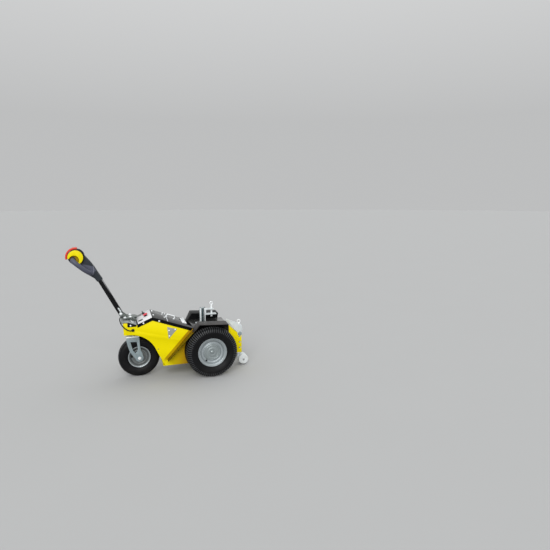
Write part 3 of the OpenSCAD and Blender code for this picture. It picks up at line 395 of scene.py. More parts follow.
# Amber painted shade for the bezels round the thumb knobs' middles
KNOB_PAINTED_SHADE = material("knob_painted_shade", (0.40, 0.25, 0.002), 0.50, variation=0.10, specular=0.1)
YELLOW_PLASTIC = material("yellow_plastic", (0.95, 0.80, 0.002), 0.32, variation=0.03,
                          grain_scale=900.0, grain=0.06, specular=0.2)
RED_PLASTIC = material("red_plastic", (0.72, 0.040, 0.016), 0.30, coat=0.2, variation=0.05,
                       grain_scale=900.0, grain=0.06)
STOP_RED = material("stop_red", (0.70, 0.020, 0.050), 0.30, coat=0.2, variation=0.05,
                    grain_scale=900.0, grain=0.06)
PANEL_WHITE = material("panel_face", (0.86, 0.87, 0.88), 0.30, coat=0.2, variation=0.02,
                       stains=((0.60, 0.60, 0.58), 0.12))
NYLON = material("white_nylon", (0.80, 0.84, 0.84), 0.45, variation=0.03,
                 stains=((0.50, 0.47, 0.42), 0.30), dust=(0.03, 0.3))
GLASS = material("gauge_lens", (0.015, 0.020, 0.030), 0.08, coat=1.0, variation=0.1)


# Mesh helpers

SHARP = math.radians(32)


def add_piece(name, mesh, finish, body, stands_for=()):
    """Puts a mesh in the scene as a named piece that rides on a body."""
    mesh.materials.clear()
    mesh.materials.append(finish)
    mesh.shade_smooth()
    mesh.set_sharp_from_angle(angle=SHARP)
    piece = bpy.data.objects.new(name, mesh)
    show(piece)
    if body:
        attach(piece, body)
    if stands_for:
        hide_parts(*stands_for)
    return piece


def add_made(name, bm, finish, body, stands_for=()):
    """Puts a new shape in the scene as a piece, with its faces turned outward."""
    bmesh.ops.recalc_face_normals(bm, faces=bm.faces)
    mesh = bpy.data.meshes.new(name)
    bm.to_mesh(mesh)
    bm.free()
    return add_piece(name, mesh, finish, body, stands_for)


def in_mm(point):
    """The reverse of place()."""
    return (point.x - AXLE.x) / MM, point.y / MM, point.z / MM


def second_finish(piece, finish, inside):
    """Gives another finish to the faces for which inside(x, y, z, normal) holds, in mm."""
    piece.data.materials.append(finish)
    index = len(piece.data.materials) - 1
    for face in piece.data.polygons:
        if inside(*in_mm(face.center), face.normal):
            face.material_index = index


def frame_of(origin, axis, turn=0.0):
    """A matrix that puts local Z along axis at origin, in metres, turned about that axis."""
    rotation = Vector(axis).to_track_quat("Z", "Y").to_matrix().to_4x4()
    return Matrix.Translation(origin) @ rotation @ Matrix.Rotation(turn, 4, "Z")


def lathe(bm, profile, sides, matrix):
    """Turns a profile of (radius, height) in mm round local Z. A point at radius 0 is a pole."""
    rings = []
    for radius, height in profile:
        count = sides if radius > 0 else 1
        ring = [bm.verts.new(matrix @ Vector((
            radius * MM * math.cos(2 * math.pi * k / sides),
            radius * MM * math.sin(2 * math.pi * k / sides),
            height * MM))) for k in range(count)]
        rings.append(ring)
    for low, high in zip(rings, rings[1:]):
        for k in range(sides):
            n = (k + 1) % sides
            ends = (low[k % len(low)], low[n % len(low)], high[n % len(high)], high[k % len(high)])
            corners = []
            for vert in ends:
                if vert not in corners:
                    corners.append(vert)
            if len(corners) > 2:
                bm.faces.new(corners)


def hex_head(bm, origin, axis, across, height):
    """A hexagon head on a washer, seated at origin."""
    matrix = frame_of(origin, axis, turn=0.3)
    radius = across / math.sqrt(3)
    foot = height * 0.25
    lathe(bm, [(0, -1), (radius * 1.45, -1), (radius * 1.45, foot * 0.7),
               (radius * 1.38, foot), (0, foot)], 24, matrix)
    lathe(bm, [(0, foot - 0.5), (radius, foot - 0.5), (radius, foot + height * 0.8),
               (radius * 0.86, foot + height), (0, foot + height)], 6, matrix)


def round_head(bm, origin, axis, radius, height):
    """A domed screw head with a socket, seated at origin."""
    matrix = frame_of(origin, axis)
    lathe(bm, [(0, -1), (radius, -1), (radius, height * 0.3), (radius * 0.86, height * 0.75),
               (radius * 0.55, height), (radius * 0.38, height), (radius * 0.36, height * 0.4),
               (0, height * 0.4)], 20, matrix)


def smooth_line(points, steps):
    """A Catmull-Rom curve through points of any dimension."""
    line = []
    for i in range(len(points) - 1):
        a = points[max(i - 1, 0)]
        b = points[i]
        c = points[i + 1]
        d = points[min(i + 2, len(points) - 1)]
        for k in range(steps):
            t = k / steps
            line.append(tuple(
                0.5 * (2 * q + (r - p) * t + (2 * p - 5 * q + 4 * r - s) * t * t
                       + (3 * q - p - 3 * r + s) * t ** 3)
                for p, q, r, s in zip(a, b, c, d)))
    line.append(tuple(points[-1]))
    return line


def tube(bm, line, radius, sides, guide=Vector((0.2, 0.3, 1))):
    """A round tube along a line of points in metres. guide is a direction it never takes."""
    rings = []
    for i, point in enumerate(line):
        ahead = (line[min(i + 1, len(line) - 1)] - line[max(i - 1, 0)]).normalized()
        across = ahead.cross(guide).normalized()
        up = ahead.cross(across)
        rings.append([bm.verts.new(point + radius * MM * (
            math.cos(2 * math.pi * k / sides) * across + math.sin(2 * math.pi * k / sides) * up))
            for k in range(sides)])
    for low, high in zip(rings, rings[1:]):
        for k in range(sides):
            bm.faces.new((low[k], low[(k + 1) % sides], high[(k + 1) % sides], high[k]))
    bm.faces.new(reversed(rings[0]))
    bm.faces.new(rings[-1])


WELD = 0.00001
FLAT_ANGLE = math.radians(0.6)
BEND_ANGLES = (math.radians(9), math.radians(60))
RIM_ANGLE = math.radians(30)
LONG_EDGE_LENGTH = 0.1


def softened(node_name, finish, edge, fold=0.0, long_edge=0.0):
    """A copy of a CAD node with its convex edges rounded, which stands for that node.

    edge, fold and long_edge are radii in mm: fold is for the shallow bends of a folded sheet, and
    long_edge for the long edges of a tube.
    """
    source = frame["nodes"][node_name]
    bm = bmesh.new()
    bm.from_mesh(source.data)
    bmesh.ops.remove_doubles(bm, verts=bm.verts, dist=WELD)
    bmesh.ops.dissolve_limit(bm, angle_limit=FLAT_ANGLE, verts=bm.verts, edges=bm.edges)

    def angle(e):
        return e.calc_face_angle(0.0) if len(e.link_faces) == 2 else 0.0

    def bevel(edges, radius, segments, clamp=True):
        bmesh.ops.bevel(bm, geom=edges, offset=radius * MM, segments=segments, profile=0.5,
                        affect="EDGES", clamp_overlap=clamp)

    if fold:
        bevel([e for e in bm.edges if BEND_ANGLES[0] < angle(e) < BEND_ANGLES[1]], fold, 4)
    if long_edge:
        corners = [e for e in bm.edges if e.calc_length() > LONG_EDGE_LENGTH
                   and angle(e) > BEND_ANGLES[1] and e.is_convex]
        bevel(corners, long_edge, 5, clamp=False)
    rims = [e for e in bm.edges if angle(e) > RIM_ANGLE and e.is_convex]
    bevel(rims, edge, 4 if edge > 2 else 2)
    mesh = bpy.data.meshes.new(node_name)
    bm.to_mesh(mesh)
    bm.free()
    return add_piece(node_name + "_finish", mesh, finish, source["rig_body"], (node_name,))


# Body panels and brackets straight from the frame, with rounded edges

SOFTENED = [
    # node, finish, slot, edge radius, radius of its bends
    ("side_panel_left", PANEL_YELLOW, "yellow_paint", 0.8, 0),
    ("side_panel_right", PANEL_YELLOW, "yellow_paint", 0.8, 0),
    ("nose_plate", YELLOW, "yellow_paint", 0.8, 0),
    ("wheel_well", YELLOW, "yellow_paint", 0.6, 0),
    ("floor_plate", YELLOW, "yellow_paint", 0.8, 0),
    ("rear_plate", YELLOW, "yellow_paint", 0.8, 0),
    ("front_deck", DECK_PAINTED_REFLECTION, "black_paint", 0.8, 3),
    ("hood", BLACK, "black_paint", 0.8, 4),
    ("hatch_cover", BLACK, "black_paint", 0.8, 0),
    ("rear_deck", BLACK_SIDE, "black_paint", 0.8, 0),
    ("mudguard_left", GUARD_TOP, "black_paint", 0.8, 4),
    ("mudguard_right", GUARD_TOP, "black_paint", 0.8, 4),
    ("control_panel", PANEL_WHITE, "panel_face", 0.8, 0),
    ("corner_plate", PLATE_GREY, "grey_paint", 0.6, 0),
    ("hood_latch", BRIGHT_ZINC, "zinc", 1.0, 0),
    ("battery_block", BLACK_PLASTIC, "black_plastic", 4.0, 0),
    ("transaxle", CASTING, "cast_metal", 3.0, 0),
    ("hitch_column", YELLOW, "yellow_paint", 1.4, 0),
    ("hitch_jaw", ZINC, "zinc", 1.2, 0),
    ("hitch_pin", BRIGHT_ZINC, "zinc", 1.0, 0),
    ("upper_post", ZINC, "zinc", 1.2, 0),
    ("upper_jaw", ZINC, "zinc", 1.2, 0),
    ("upper_pin", BRIGHT_ZINC, "zinc", 1.0, 0),
    ("anti_tip_bracket", ZINC, "zinc", 1.0, 0),
    ("anti_tip_wheels", NYLON, "white_nylon", 3.5, 0),
    ("steering_fork", FORK_STEEL, "zinc", 1.4, 0),
    ("steering_head", BRACKET_GREY, "cast_metal", 1.0, 0),
    ("steering_column", STEEL, "bare_steel", 1.0, 0),
    ("tiller_bracket", BRACKET_GREY, "black_paint", 1.2, 0),
    ("tiller_shaft", SHAFT_BLACK, "black_paint", 1.0, 0),
    ("key_switch", BLACK_PLASTIC, "black_plastic", 1.5, 0),
    ("battery_gauge", BLACK_PLASTIC, "black_plastic", 1.2, 0),
    ("cable_gland", BLACK_PLASTIC, "black_plastic", 1.0, 0),
    ("thumb_knobs", YELLOW_PLASTIC, "yellow_plastic", 7.0, 0),
    ("belly_button", RED_PLASTIC, "red_plastic", 4.0, 0),
]
LONG_EDGES = {"tiller_shaft": 5.0}
SOFT = {}
for node_name, finish, slot_name, edge, fold in SOFTENED:
    SOFT[node_name] = softened(node_name, finish, edge, fold,
                               LONG_EDGES.get(node_name, 0))

# The covers' tops are glossy and their sides are dull
for node_name in ("hood", "front_deck"):
    second_finish(SOFT[node_name], BLACK_SIDE, lambda x, y, z, normal: abs(normal.y) > 0.5)
second_finish(SOFT["rear_deck"], REAR_DECK, lambda x, y, z, normal: normal.z > 0.7)

# The mudguards' front plates carry a painted reflection of the panels' yellow, and their sides are
# duller black
GUARD_PLATE_TOP = 382
for node_name in ("mudguard_left", "mudguard_right"):
    second_finish(SOFT[node_name], BLACK_SIDE, lambda x, y, z, normal: abs(normal.y) > 0.7)
    second_finish(SOFT[node_name], GUARD_PAINTED_REFLECTION,
                  lambda x, y, z, normal: normal.x > 0.5 and z < GUARD_PLATE_TOP)
# The far mudguard's top and forward faces take the duller black as painted shade
second_finish(SOFT["mudguard_right"], BLACK_SIDE,
              lambda x, y, z, normal: z > GUARD_PLATE_TOP and max(normal.x, normal.z) > 0.5)

# The hitch column's inside, the upper post's recess and the left face of its rear flange get
# painted shade
HITCH_INNER_Y = 34.4
POST_RECESS_Y = (-13.5, 22.0)
POST_RECESS_X = (19.5, 46.5)
second_finish(SOFT["hitch_column"], YELLOW_PAINTED_SHADE,
              lambda x, y, z, normal: abs(y) < HITCH_INNER_Y and abs(normal.y) > 0.9)
second_finish(SOFT["upper_post"], ZINC_SHADE,
              lambda x, y, z, normal: POST_RECESS_Y[0] < y < POST_RECESS_Y[1]
              and POST_RECESS_X[0] < x < POST_RECESS_X[1])
second_finish(SOFT["upper_post"], FORK_STEEL,
              lambda x, y, z, normal: x < POST_RECESS_X[0] and normal.y > 0.7)


# Tyres

def step(value, low, high):
    t = min(1.0, max(0.0, (value - low) / (high - low)))
    return t * t * (3 - 2 * t)


# A lug and the gap beside it take six columns of vertices. Lengths are in mm.
COLUMNS = 6
LUG_COLUMNS = (5, 0, 1)
CROSS_GAP_COLUMNS = (2, 3)
CROSS_GAP_SHARE = 0.7
SHOULDER_FADE = 4
CROWN_BAND = 7
GROOVE_EDGE = (1.6, 3.0)
RING_HEIGHT = 0.8
RING_EDGE = (0.6, 1.8)


def make_tyre(node_name, body, centre, half, pitches, lug_from, lug_depth, ribs, rings):
    """A tyre with shoulder lugs and tread ribs, turned about the axle.

    half lists (radius, distance from the middle plane) from the bead to the crown, in mm.
    lug_from is the radius where the shoulder lugs begin. ribs lists the middles of the tread
    grooves, and rings the radii of the raised lines on the sidewall.
    """
    side = smooth_line(half, 5)
    line = [(r, y) for r, y in side] + [(r, -y) for r, y in reversed(side[:-1])]
    crown = half[-1][0]
    columns = pitches * COLUMNS
    bm = bmesh.new()
    verts = []
    on_lug = []
    for k in range(columns):
        angle = 2 * math.pi * k / columns
        raised = k % COLUMNS in LUG_COLUMNS
        ring = []
        for i, (r, y) in enumerate(line):
            before = line[max(i - 1, 0)]
            after = line[min(i + 1, len(line) - 1)]
            along = Vector((after[0] - before[0], after[1] - before[1])).normalized()
            outward = Vector((-along.y, along.x))
            sunk = 0.0
            if not raised:
                shoulder = step(r, lug_from, lug_from + SHOULDER_FADE)
                sunk = lug_depth * shoulder * step(abs(y), ribs[-1] * 0.9, ribs[-1] * 1.1)
            if r > crown - CROWN_BAND:
                for groove in ribs:
                    sunk = max(sunk, lug_depth * (1 - step(abs(abs(y) - groove), *GROOVE_EDGE)))
                if ribs[0] < abs(y) < ribs[-1] and k % COLUMNS in CROSS_GAP_COLUMNS:
                    sunk = max(sunk, lug_depth * CROSS_GAP_SHARE)
            swell = sum(RING_HEIGHT * (1 - step(abs(r - ring_r), *RING_EDGE)) for ring_r in rings)
            move = swell - sunk
            radius = (r + outward.x * move) * MM
            depth = (y + outward.y * move) * MM
            ring.append(bm.verts.new((centre.x + radius * math.cos(angle), centre.y + depth,
                                      centre.z + radius * math.sin(angle))))
        verts.append(ring)
    count = len(line)
    for k in range(columns):
        here = verts[k]
        there = verts[(k + 1) % columns]
        for i in range(count):
            j = (i + 1) % count
            bm.faces.new((here[i], here[j], there[j], there[i]))
            on_lug.append(k % COLUMNS in LUG_COLUMNS[:2]
                          and min(line[i][0], line[j][0]) > lug_from)
    # Raised lug faces take the rubber that is partly dust and partly painted light
    mesh = add_made(node_name + "_tread", bm, RUBBER, body, (node_name,)).data
    mesh.materials.append(LUG_DUST_AND_LIGHT)
    for face, raised in zip(mesh.polygons, on_lug):
        face.material_index = int(raised)


REAR_TYRE = [(105, 27), (112, 32), (121, 37.5), (134, 46.5), (150, 52.5), (168, 54.8),
             (183, 52.4), (193.5, 47), (200, 40), (204.5, 31), (206.8, 20), (207.4, 9), (207.5, 0)]
FRONT_TYRE = [(75.5, 28), (83, 32.5), (91.5, 38), (101.5, 44), (115, 47.2), (129, 47.8),
              (141, 45.6), (151, 40.4), (158, 33), (162.4, 24.5), (164.4, 13), (165, 0)]
REAR_RIGHT = Vector(JOINTS["rear_wheel_right_spin"]["pos_m"])
# Half profile, lugs round, lug start, depth, grooves, sidewall rings
REAR_TREAD = (REAR_TYRE, 72, 171, 4.5, (8, 24), (127, 133, 160))
FRONT_TREAD = (FRONT_TYRE, 96, 158, 1.0, (6, 18), (97, 103, 137))
make_tyre("rear_tyre_left", "rear_wheel_left", AXLE, *REAR_TREAD)
make_tyre("rear_tyre_right", "rear_wheel_right", REAR_RIGHT, *REAR_TREAD)
make_tyre("front_tyre", "front_wheel", FRONT_AXLE, *FRONT_TREAD)


# Rims, turned from their profiles: radius and distance outward from the middle plane

REAR_RIM_BACK = [(14.1, 20.3), (14.1, -30), (33, -30), (34, -29), (34, 3.4), (64, 1.6), (83, -4),
                 (97, -30), (101, -33), (109, -33.4), (115, -38), (118, -36.8), (117, -35),
                 (104.7, -28), (104.7, 28), (117, 35)]
REAR_RIM_FACE = [(118, 36.6), (117, 37.8), (114.6, 38.2), (112.6, 37.4), (111.6, 35.8),
                 (110.2, 34.2), (107.6, 33.8), (106.6, 32.4), (105.2, 31.6), (103.2, 31.6),
                 (102.2, 30.2), (100.6, 29.5), (98.8, 29.2), (97.6, 27.2), (92, 16.8), (89, 11.8),
                 (87, 9.8), (84.5, 8.8), (77, 8.0), (74, 8.6), (71.8, 10.6), (70.2, 13.4),
                 (68.2, 15.6), (65.4, 16.6), (62.6, 16.5), (61.4, 15.7), (57, 15.9), (55.8, 17.0),
                 (53.8, 17.4), (52, 16.6), (34, 17.6), (32.4, 18.6), (30.2, 18.9), (28.2, 18.1),
                 (17.4, 18.1), (16.6, 19.4), (16, 22.6), (14.4, 24.4), (11.6, 24.9), (10.6, 25.8),
                 (6, 27.2), (0, 27.6), (0, 20.3)]
FRONT_RIM_HALF = [(10.1, 53), (19, 53), (20, 52), (25, 52), (26, 51), (27, 44), (27.6, 20),
                  (30, 17), (34, 15.6), (47, 13.8), (49, 14.8), (52, 14.8), (54, 13.4), (60, 13),
                  (64, 15), (69, 24), (71.6, 29), (74, 32.6), (77, 34.6), (80, 35.8), (82, 38),
                  (84.8, 39.2), (87.4, 38.9), (88.6, 37.8), (87.6, 36), (75.2, 29)]
REAR_RIM = REAR_RIM_BACK + REAR_RIM_FACE
FRONT_RIM = FRONT_RIM_HALF + [(r, -y) for r, y in reversed(FRONT_RIM_HALF)]
RIM_SIDES = 96
REAR_HUB_R = 69
FRONT_HUB_R = 79


def make_rim(node_name, body, centre, outward, profile, hub_r, hub_finish):
    """A rim turned about its axle from a closed profile, with its own finish within hub_r."""
    bm = bmesh.new()
    lathe(bm, profile + [profile[0]], RIM_SIDES, frame_of(centre, (0, outward, 0)))
    bmesh.ops.remove_doubles(bm, verts=bm.verts, dist=WELD)
    piece = add_made(node_name + "_turned", bm, RIM, body, (node_name,))
    middle = in_mm(centre)
    second_finish(piece, hub_finish,
                  lambda x, y, z, normal: math.hypot(x - middle[0], z - middle[2]) < hub_r)


make_rim("rear_rim_left", "rear_wheel_left", AXLE, 1, REAR_RIM, REAR_HUB_R, RIM_HUB)
make_rim("rear_rim_right", "rear_wheel_right", REAR_RIGHT, -1, REAR_RIM, REAR_HUB_R, RIM_HUB)
make_rim("front_rim", "front_wheel", FRONT_AXLE, 1, FRONT_RIM, FRONT_HUB_R, FRONT_HUB)


def make_valve(name, body, centre, x, z, seat_y, outward, length, angle):
    """A tyre valve on a black oval disc that stands as painted shade for its hole: place beside
    the axle in mm, and a turn in the face.
    """
    bm = bmesh.new()
    seat = centre + Vector((x * MM, outward * seat_y * MM, z * MM))
    matrix = frame_of(seat, (0, outward, 0), angle) @ Matrix.Diagonal((1.0, 0.62, 1.0, 1.0))
    lathe(bm, [(0, -4), (10.5, -4), (10.5, 0.9), (9.4, 1.5), (7.8, 1.0), (0, 0.8)], 28, matrix)
    lathe(bm, [(0, 0), (4.2, 0), (4.0, length - 7), (2.8, length - 6), (2.8, length - 1),
               (2.2, length), (0, length)], 16, frame_of(seat, (0, outward, 0)))
    add_made(name, bm, BLACK_PLASTIC, body)


make_valve("rear_valve_left", "rear_wheel_left", AXLE, 50, -70, 9.6, 1, 17, 0.35)
make_valve("rear_valve_right", "rear_wheel_right", REAR_RIGHT, 50, -70, 9.6, -1, 17, -0.35)
make_valve("front_valve", "front_wheel", FRONT_AXLE, 57, 2, 13.2, 1, 19, 1.57)


# Control head

def remeshed(node_name, finish, voxel, rounds):
    """A copy of a CAD node as one smooth moulding, which stands for that node."""
    source = frame["nodes"][node_name]
    mesh = source.data.copy()
    mesh.name = node_name + "_moulding"
    piece = add_piece(node_name + "_moulding", mesh, finish, None)
    remesh = piece.modifiers.new("remesh", "REMESH")
    remesh.mode = "VOXEL"
    remesh.voxel_size = voxel * MM
    smooth = piece.modifiers.new("smooth", "SMOOTH")
    smooth.iterations = rounds
    smooth.factor = 0.5
    graph = bpy.context.evaluated_depsgraph_get()
    result = bpy.data.meshes.new_from_object(piece.evaluated_get(graph))
    piece.modifiers.clear()
    piece.data = result
    result.materials.clear()
    result.materials.append(finish)
    result.shade_smooth()
    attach(piece, source["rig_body"])
    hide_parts(node_name)
    return piece


HEAD = remeshed("head_housing", MOULDING, 2.0, 10)

# Places on the tiller: v forward of its middle line, y to the left, u up along it, all in mm
TILLER_LEAN = math.radians(27)
KNOB_V = 58
KNOB_U = 556
BEZEL_R = 61
BEZEL_Y = 24
RECESS_R = 48
RECESS_Y = 30
GRIP_ROUTE = [(22, 20, 392), (32, 54, 403), (46, 78, 435), (62, 91, 475), (77, 93, 516),
              (85, 84, 542), (86, 62, 550), (86, 24, 550)]
GRIP_REACH = 21
GRIP_Y = 22
# The cheeks, which are as light as the grips, lie above these places and below a slanting line
CHEEK_V = -14
CHEEK_Y = 16
CHEEK_U = 394
CHEEK_TOP_U = 445
CHEEK_TOP_SLOPE = 0.96
# Turns a place on the tiller to the frame's axes
LEAN_TURN = Matrix.Rotation(TILLER_LEAN, 3, "Y")


def on_tiller(v, y, u):
    return PIVOT + LEAN_TURN @ Vector((v, y, u)) * MM


def from_tiller(point):
    """The reverse of on_tiller()."""
    return LEAN_TURN.transposed() @ ((point - PIVOT) / MM)


GRIP_LINE = [Vector(point) for point in smooth_line(GRIP_ROUTE, 6)]


def finish_head():
    """Lighter grips and cheeks, black bezels behind the thumb knobs, and amber painted shade on
    the bezels round the knobs' middles.
    """
    for finish in (GRIP, BLACK_PLASTIC, KNOB_PAINTED_SHADE):
        HEAD.data.materials.append(finish)
    for face in HEAD.data.polygons:
        spot = from_tiller(face.center)
        spot.y = abs(spot.y)
        near_grip = min((spot - point).length for point in GRIP_LINE)
        from_knob = math.hypot(spot.x - KNOB_V, spot.z - KNOB_U)
        below_top = CHEEK_U < spot.z < CHEEK_TOP_U + spot.x * CHEEK_TOP_SLOPE
        on_cheek = spot.y > CHEEK_Y and spot.x > CHEEK_V and below_top
        if on_cheek or near_grip < GRIP_REACH and spot.y > GRIP_Y:
            face.material_index = 1
        elif from_knob < RECESS_R and spot.y > RECESS_Y:
            face.material_index = 3
        elif from_knob < BEZEL_R and spot.y > BEZEL_Y:
            face.material_index = 2


finish_head()


SEAM_START = (-19, 446)
SEAM_RUN = (42, -62)
SEAM_SAG = 14
SEAM_STEPS = 14
SEAM_RADIUS = 1.8
OUTSIDE_HEAD = 120


def make_seams():
    """A raised seam on each side of the head, where the grips join its neck, in a light grey that
    is a painted highlight.
    """
    mesh = HEAD.data
    tree = BVHTree.FromPolygons([v.co for v in mesh.vertices],
                                [tuple(face.vertices) for face in mesh.polygons])
    bm = bmesh.new()
    for side in (1, -1):
        line = []
        for k in range(SEAM_STEPS + 1):
            share = k / SEAM_STEPS
            v = SEAM_START[0] + SEAM_RUN[0] * share
            u = SEAM_START[1] + SEAM_RUN[1] * share - SEAM_SAG * math.sin(math.pi * share)
            hit = tree.ray_cast(on_tiller(v, side * OUTSIDE_HEAD, u), Vector((0, -side, 0)))[0]
            if hit:
                line.append(hit)
        tube(bm, line, SEAM_RADIUS, 8)
    add_made("head_seams", bm, SEAM_HIGHLIGHT, "tiller")


# Tiller cable

CABLE_POINTS = [(663.3, 50, 513), (668, 50, 513), (674, 50, 513), (690, 66, 514),
                (700, 100, 515), (702, 134, 505), (695, 154, 482), (678, 160, 456),
                (655, 159, 434), (638, 156, 424), (626, 155, 421), (620, 155, 421),
                (615.3, 155, 421)]
CABLE_RADIUS = 4.0


def make_cable():
    line = [place(*point) for point in smooth_line(CABLE_POINTS, 6)]
    bm = bmesh.new()
    tube(bm, line, CABLE_RADIUS, 16)
    piece = add_made("tiller_cable_jacket", bm, BLACK_PLASTIC, None,
                     ("tiller_cable",))
    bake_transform(piece)


make_cable()
make_seams()


# Fasteners: each group is one piece on one body

def slope_run(start, end):
    return Vector((end[0] - start[0], end[1] - start[1])).normalized()


def rear_facet(x, y, lift=0.0):
    """A place on the hood's long slope: x up it from its rear edge, in mm."""
    return on_slope(HOOD_REAR, RIDGE, x, y, lift)


def front_facet(x, y, lift=0.0):
    """A place on the hood's short slope: x down it from the ridge, in mm."""
    return on_slope(RIDGE, DIP, x, y, lift)


def on_slope(start, end, x, y, lift):
    run = slope_run(start, end)
    return place(start[0] + run.x * x - run.y * lift, y, start[1] + run.y * x + run.x * lift)


def slope_normal(start, end):
    run = slope_run(start, end)
    return Vector((-run.y, 0, run.x))


DECK_BEND = (639, 486)
DIP = (577, 462)
RIDGE = (456, 514)
HOOD_REAR = (137, 398)
UP = Vector((0, 0, 1))
LEFT = Vector((0, 1, 0))
RIGHT = Vector((0, -1, 0))
COVER_SIDE = 147.9
PANEL_SIDE = 145
PLATE_SIDE = 147
BEARING = (611, 0, 492)
BEARING_SCREW_R = 39
BEARING_SCREWS = 6
BRACKET_TOP = 506
REAR_UP = slope_normal(HOOD_REAR, RIDGE)
FRONT_UP = slope_normal(RIDGE, DIP)
ON_HATCH = 2.0


def add_fasteners(name, body, finish, head, size, height, spots):
    """head is hex_head or round_head, and spots lists places with their axes."""
    bm = bmesh.new()
    for origin, axis in spots:
        head(bm, origin, axis, size, height)
    add_made(name, bm, finish, body)


def both_sides(x, y, z):
    return [(place(x, y, z), LEFT), (place(x, -y, z), RIGHT)]


add_fasteners("cover_screws", "chassis", BRIGHT_ZINC, round_head, 7.0, 4.5,
              both_sides(624, COVER_SIDE, 461) + both_sides(526, COVER_SIDE, 472)
              + both_sides(405, COVER_SIDE, 480))
add_fasteners("hatch_screws", "chassis", BRIGHT_ZINC, round_head, 7.5, 5.0,
              [(rear_facet(x, y, ON_HATCH), REAR_UP)
               for x, y in ((326, 61), (326, -96), (230, 32), (231, -126))])
add_fasteners("corner_plate_screws", "chassis", BRIGHT_ZINC, round_head, 6.5, 4.0,
              [(place(x, PLATE_SIDE, z), LEFT)
               for x, z in ((331, 396), (282, 400), (329, 349))])
add_fasteners("panel_screws", "chassis", CASTING, round_head, 4.0, 2.0,
              both_sides(420, PANEL_SIDE, 250))
add_fasteners("bracket_bolts", "steering", BRIGHT_ZINC, hex_head, 15, 7.0,
              [(place(x, y, BRACKET_TOP), UP)
               for x, y in ((620, 40), (620, -40), (662, 56), (662, -52))])
add_fasteners("bearing_screws", "chassis", STEEL, round_head, 4.5, 3.5,
              [(place(BEARING[0] + BEARING_SCREW_R * math.cos(a),
                      BEARING_SCREW_R * math.sin(a), BEARING[2]), UP)
               for a in (2 * math.pi * k / BEARING_SCREWS for k in range(BEARING_SCREWS))])
add_fasteners("pivot_bolts", "tiller", BRIGHT_ZINC, hex_head, 14, 8.0,
              [(on_tiller(0, 25.4, 0), LEFT), (on_tiller(0, -25.4, 0), RIGHT)])
add_fasteners("foot_bolts", "tiller", ZINC, hex_head, 7, 4.0,
              [(on_tiller(-6, side * 21, 44), Vector((0, side, 0))) for side in (1, -1)])
add_fasteners("anti_tip_bolts", "chassis", STEEL, hex_head, 12, 4.0,
              [(place(-312, side * 44, 51), Vector((0, side, 0))) for side in (1, -1)])


FOOT_PLATE = [(-14, 14), (-2, 14), (0, 47), (-3, 54), (-8, 54), (-11, 47)]
FOOT_PLATE_FACES = (18.0, 21.0)


def make_foot_plates():
    """Zinc plates on the tiller's sides, just above its pivot."""
    bm = bmesh.new()
    count = len(FOOT_PLATE)
    for side in (1, -1):
        verts = [bm.verts.new(on_tiller(v, side * y, u)) for y in FOOT_PLATE_FACES
                 for v, u in FOOT_PLATE]
        bm.faces.new(verts[:count])
        bm.faces.new(verts[count:])
        for k in range(count):
            n = (k + 1) % count
            bm.faces.new((verts[k], verts[n], verts[n + count], verts[k + count]))
    bmesh.ops.bevel(bm, geom=list(bm.edges), offset=0.7 * MM, segments=2, affect="EDGES")
    add_made("tiller_foot_plates", bm, ZINC, "tiller")


make_foot_plates()


# Bolted ends that replace plain pins

def bolted_end(bm, origin, axis, across, washer_r, nut_t, end):
    """A washer, a nut and the bolt's end behind it, in mm, seated at origin."""
    matrix = frame_of(origin, axis, turn=0.4)
    lathe(bm, [(0, 0), (washer_r, 0), (washer_r, 1.8), (washer_r - 0.6, 2.4), (0, 2.4)], 32,
          matrix)
    corner = across / math.sqrt(3)
    lathe(bm, [(0, 2.2), (corner - 0.8, 2.2), (corner, 3.2), (corner, nut_t - 1.2),
               (corner - 1.4, nut_t), (0, nut_t)], 6, matrix)
    bolt = across * 0.32
    lathe(bm, [(0, nut_t - 1), (bolt, nut_t - 1), (bolt, end - 1), (bolt - 1, end), (0, end)], 24,
          matrix)


def bolted_pin(name, body, node_name, centre, radius, sides, cheek, ends):
    """A pin across the tug with a bolted end on each cheek, which stands for a CAD node."""
    bm = bmesh.new()
    lathe(bm, [(0, -cheek), (radius, -cheek), (radius, cheek), (0, cheek)], sides,
          frame_of(centre, LEFT))
    for side in (1, -1):
        bolted_end(bm, centre + Vector((0, side * cheek * MM, 0)), (0, side, 0), *ends)
    return add_made(name, bm, FORK_STEEL, body, (node_name,))


# Radius and sides of a pin, and of its ends: across the flats, washer's radius, nut's top and
# bolt's end
AXLE_PIN = (10, 32)
AXLE_CHEEK = 64.1
AXLE_ENDS = (27, 16, 9, 12)
NUT_FACE = 4
NUT_BRIGHT_R = 10
JAW_PLACE = (-279, 0, 288)
JAW_PIN = (6, 24)
JAW_CHEEK = 46.3
JAW_ENDS = (28, 17, 7, 8)


def make_front_axle():
    """The front axle, whose nuts are bright in the middle."""
    piece = bolted_pin("front_axle_bolted", "steering", "front_axle", FRONT_AXLE, *AXLE_PIN,
                       AXLE_CHEEK, AXLE_ENDS)
    axle = in_mm(FRONT_AXLE)
    second_finish(piece, BRIGHT_ZINC, lambda x, y, z, normal: abs(y) > AXLE_CHEEK + NUT_FACE
                  and math.hypot(x - axle[0], z - axle[2]) < NUT_BRIGHT_R)


make_front_axle()
bolted_pin("jaw_bolt_hex", "chassis", "jaw_bolt", place(*JAW_PLACE), *JAW_PIN, JAW_CHEEK,
           JAW_ENDS)


# Fittings on the hood and the front deck

HANDLE_ENDS = (142, 208)
HANDLE_Y = -25
HANDLE_TOP = 22
HANDLE_BEND = 7
HANDLE_BAR_R = 5
BEND_STEPS = 6


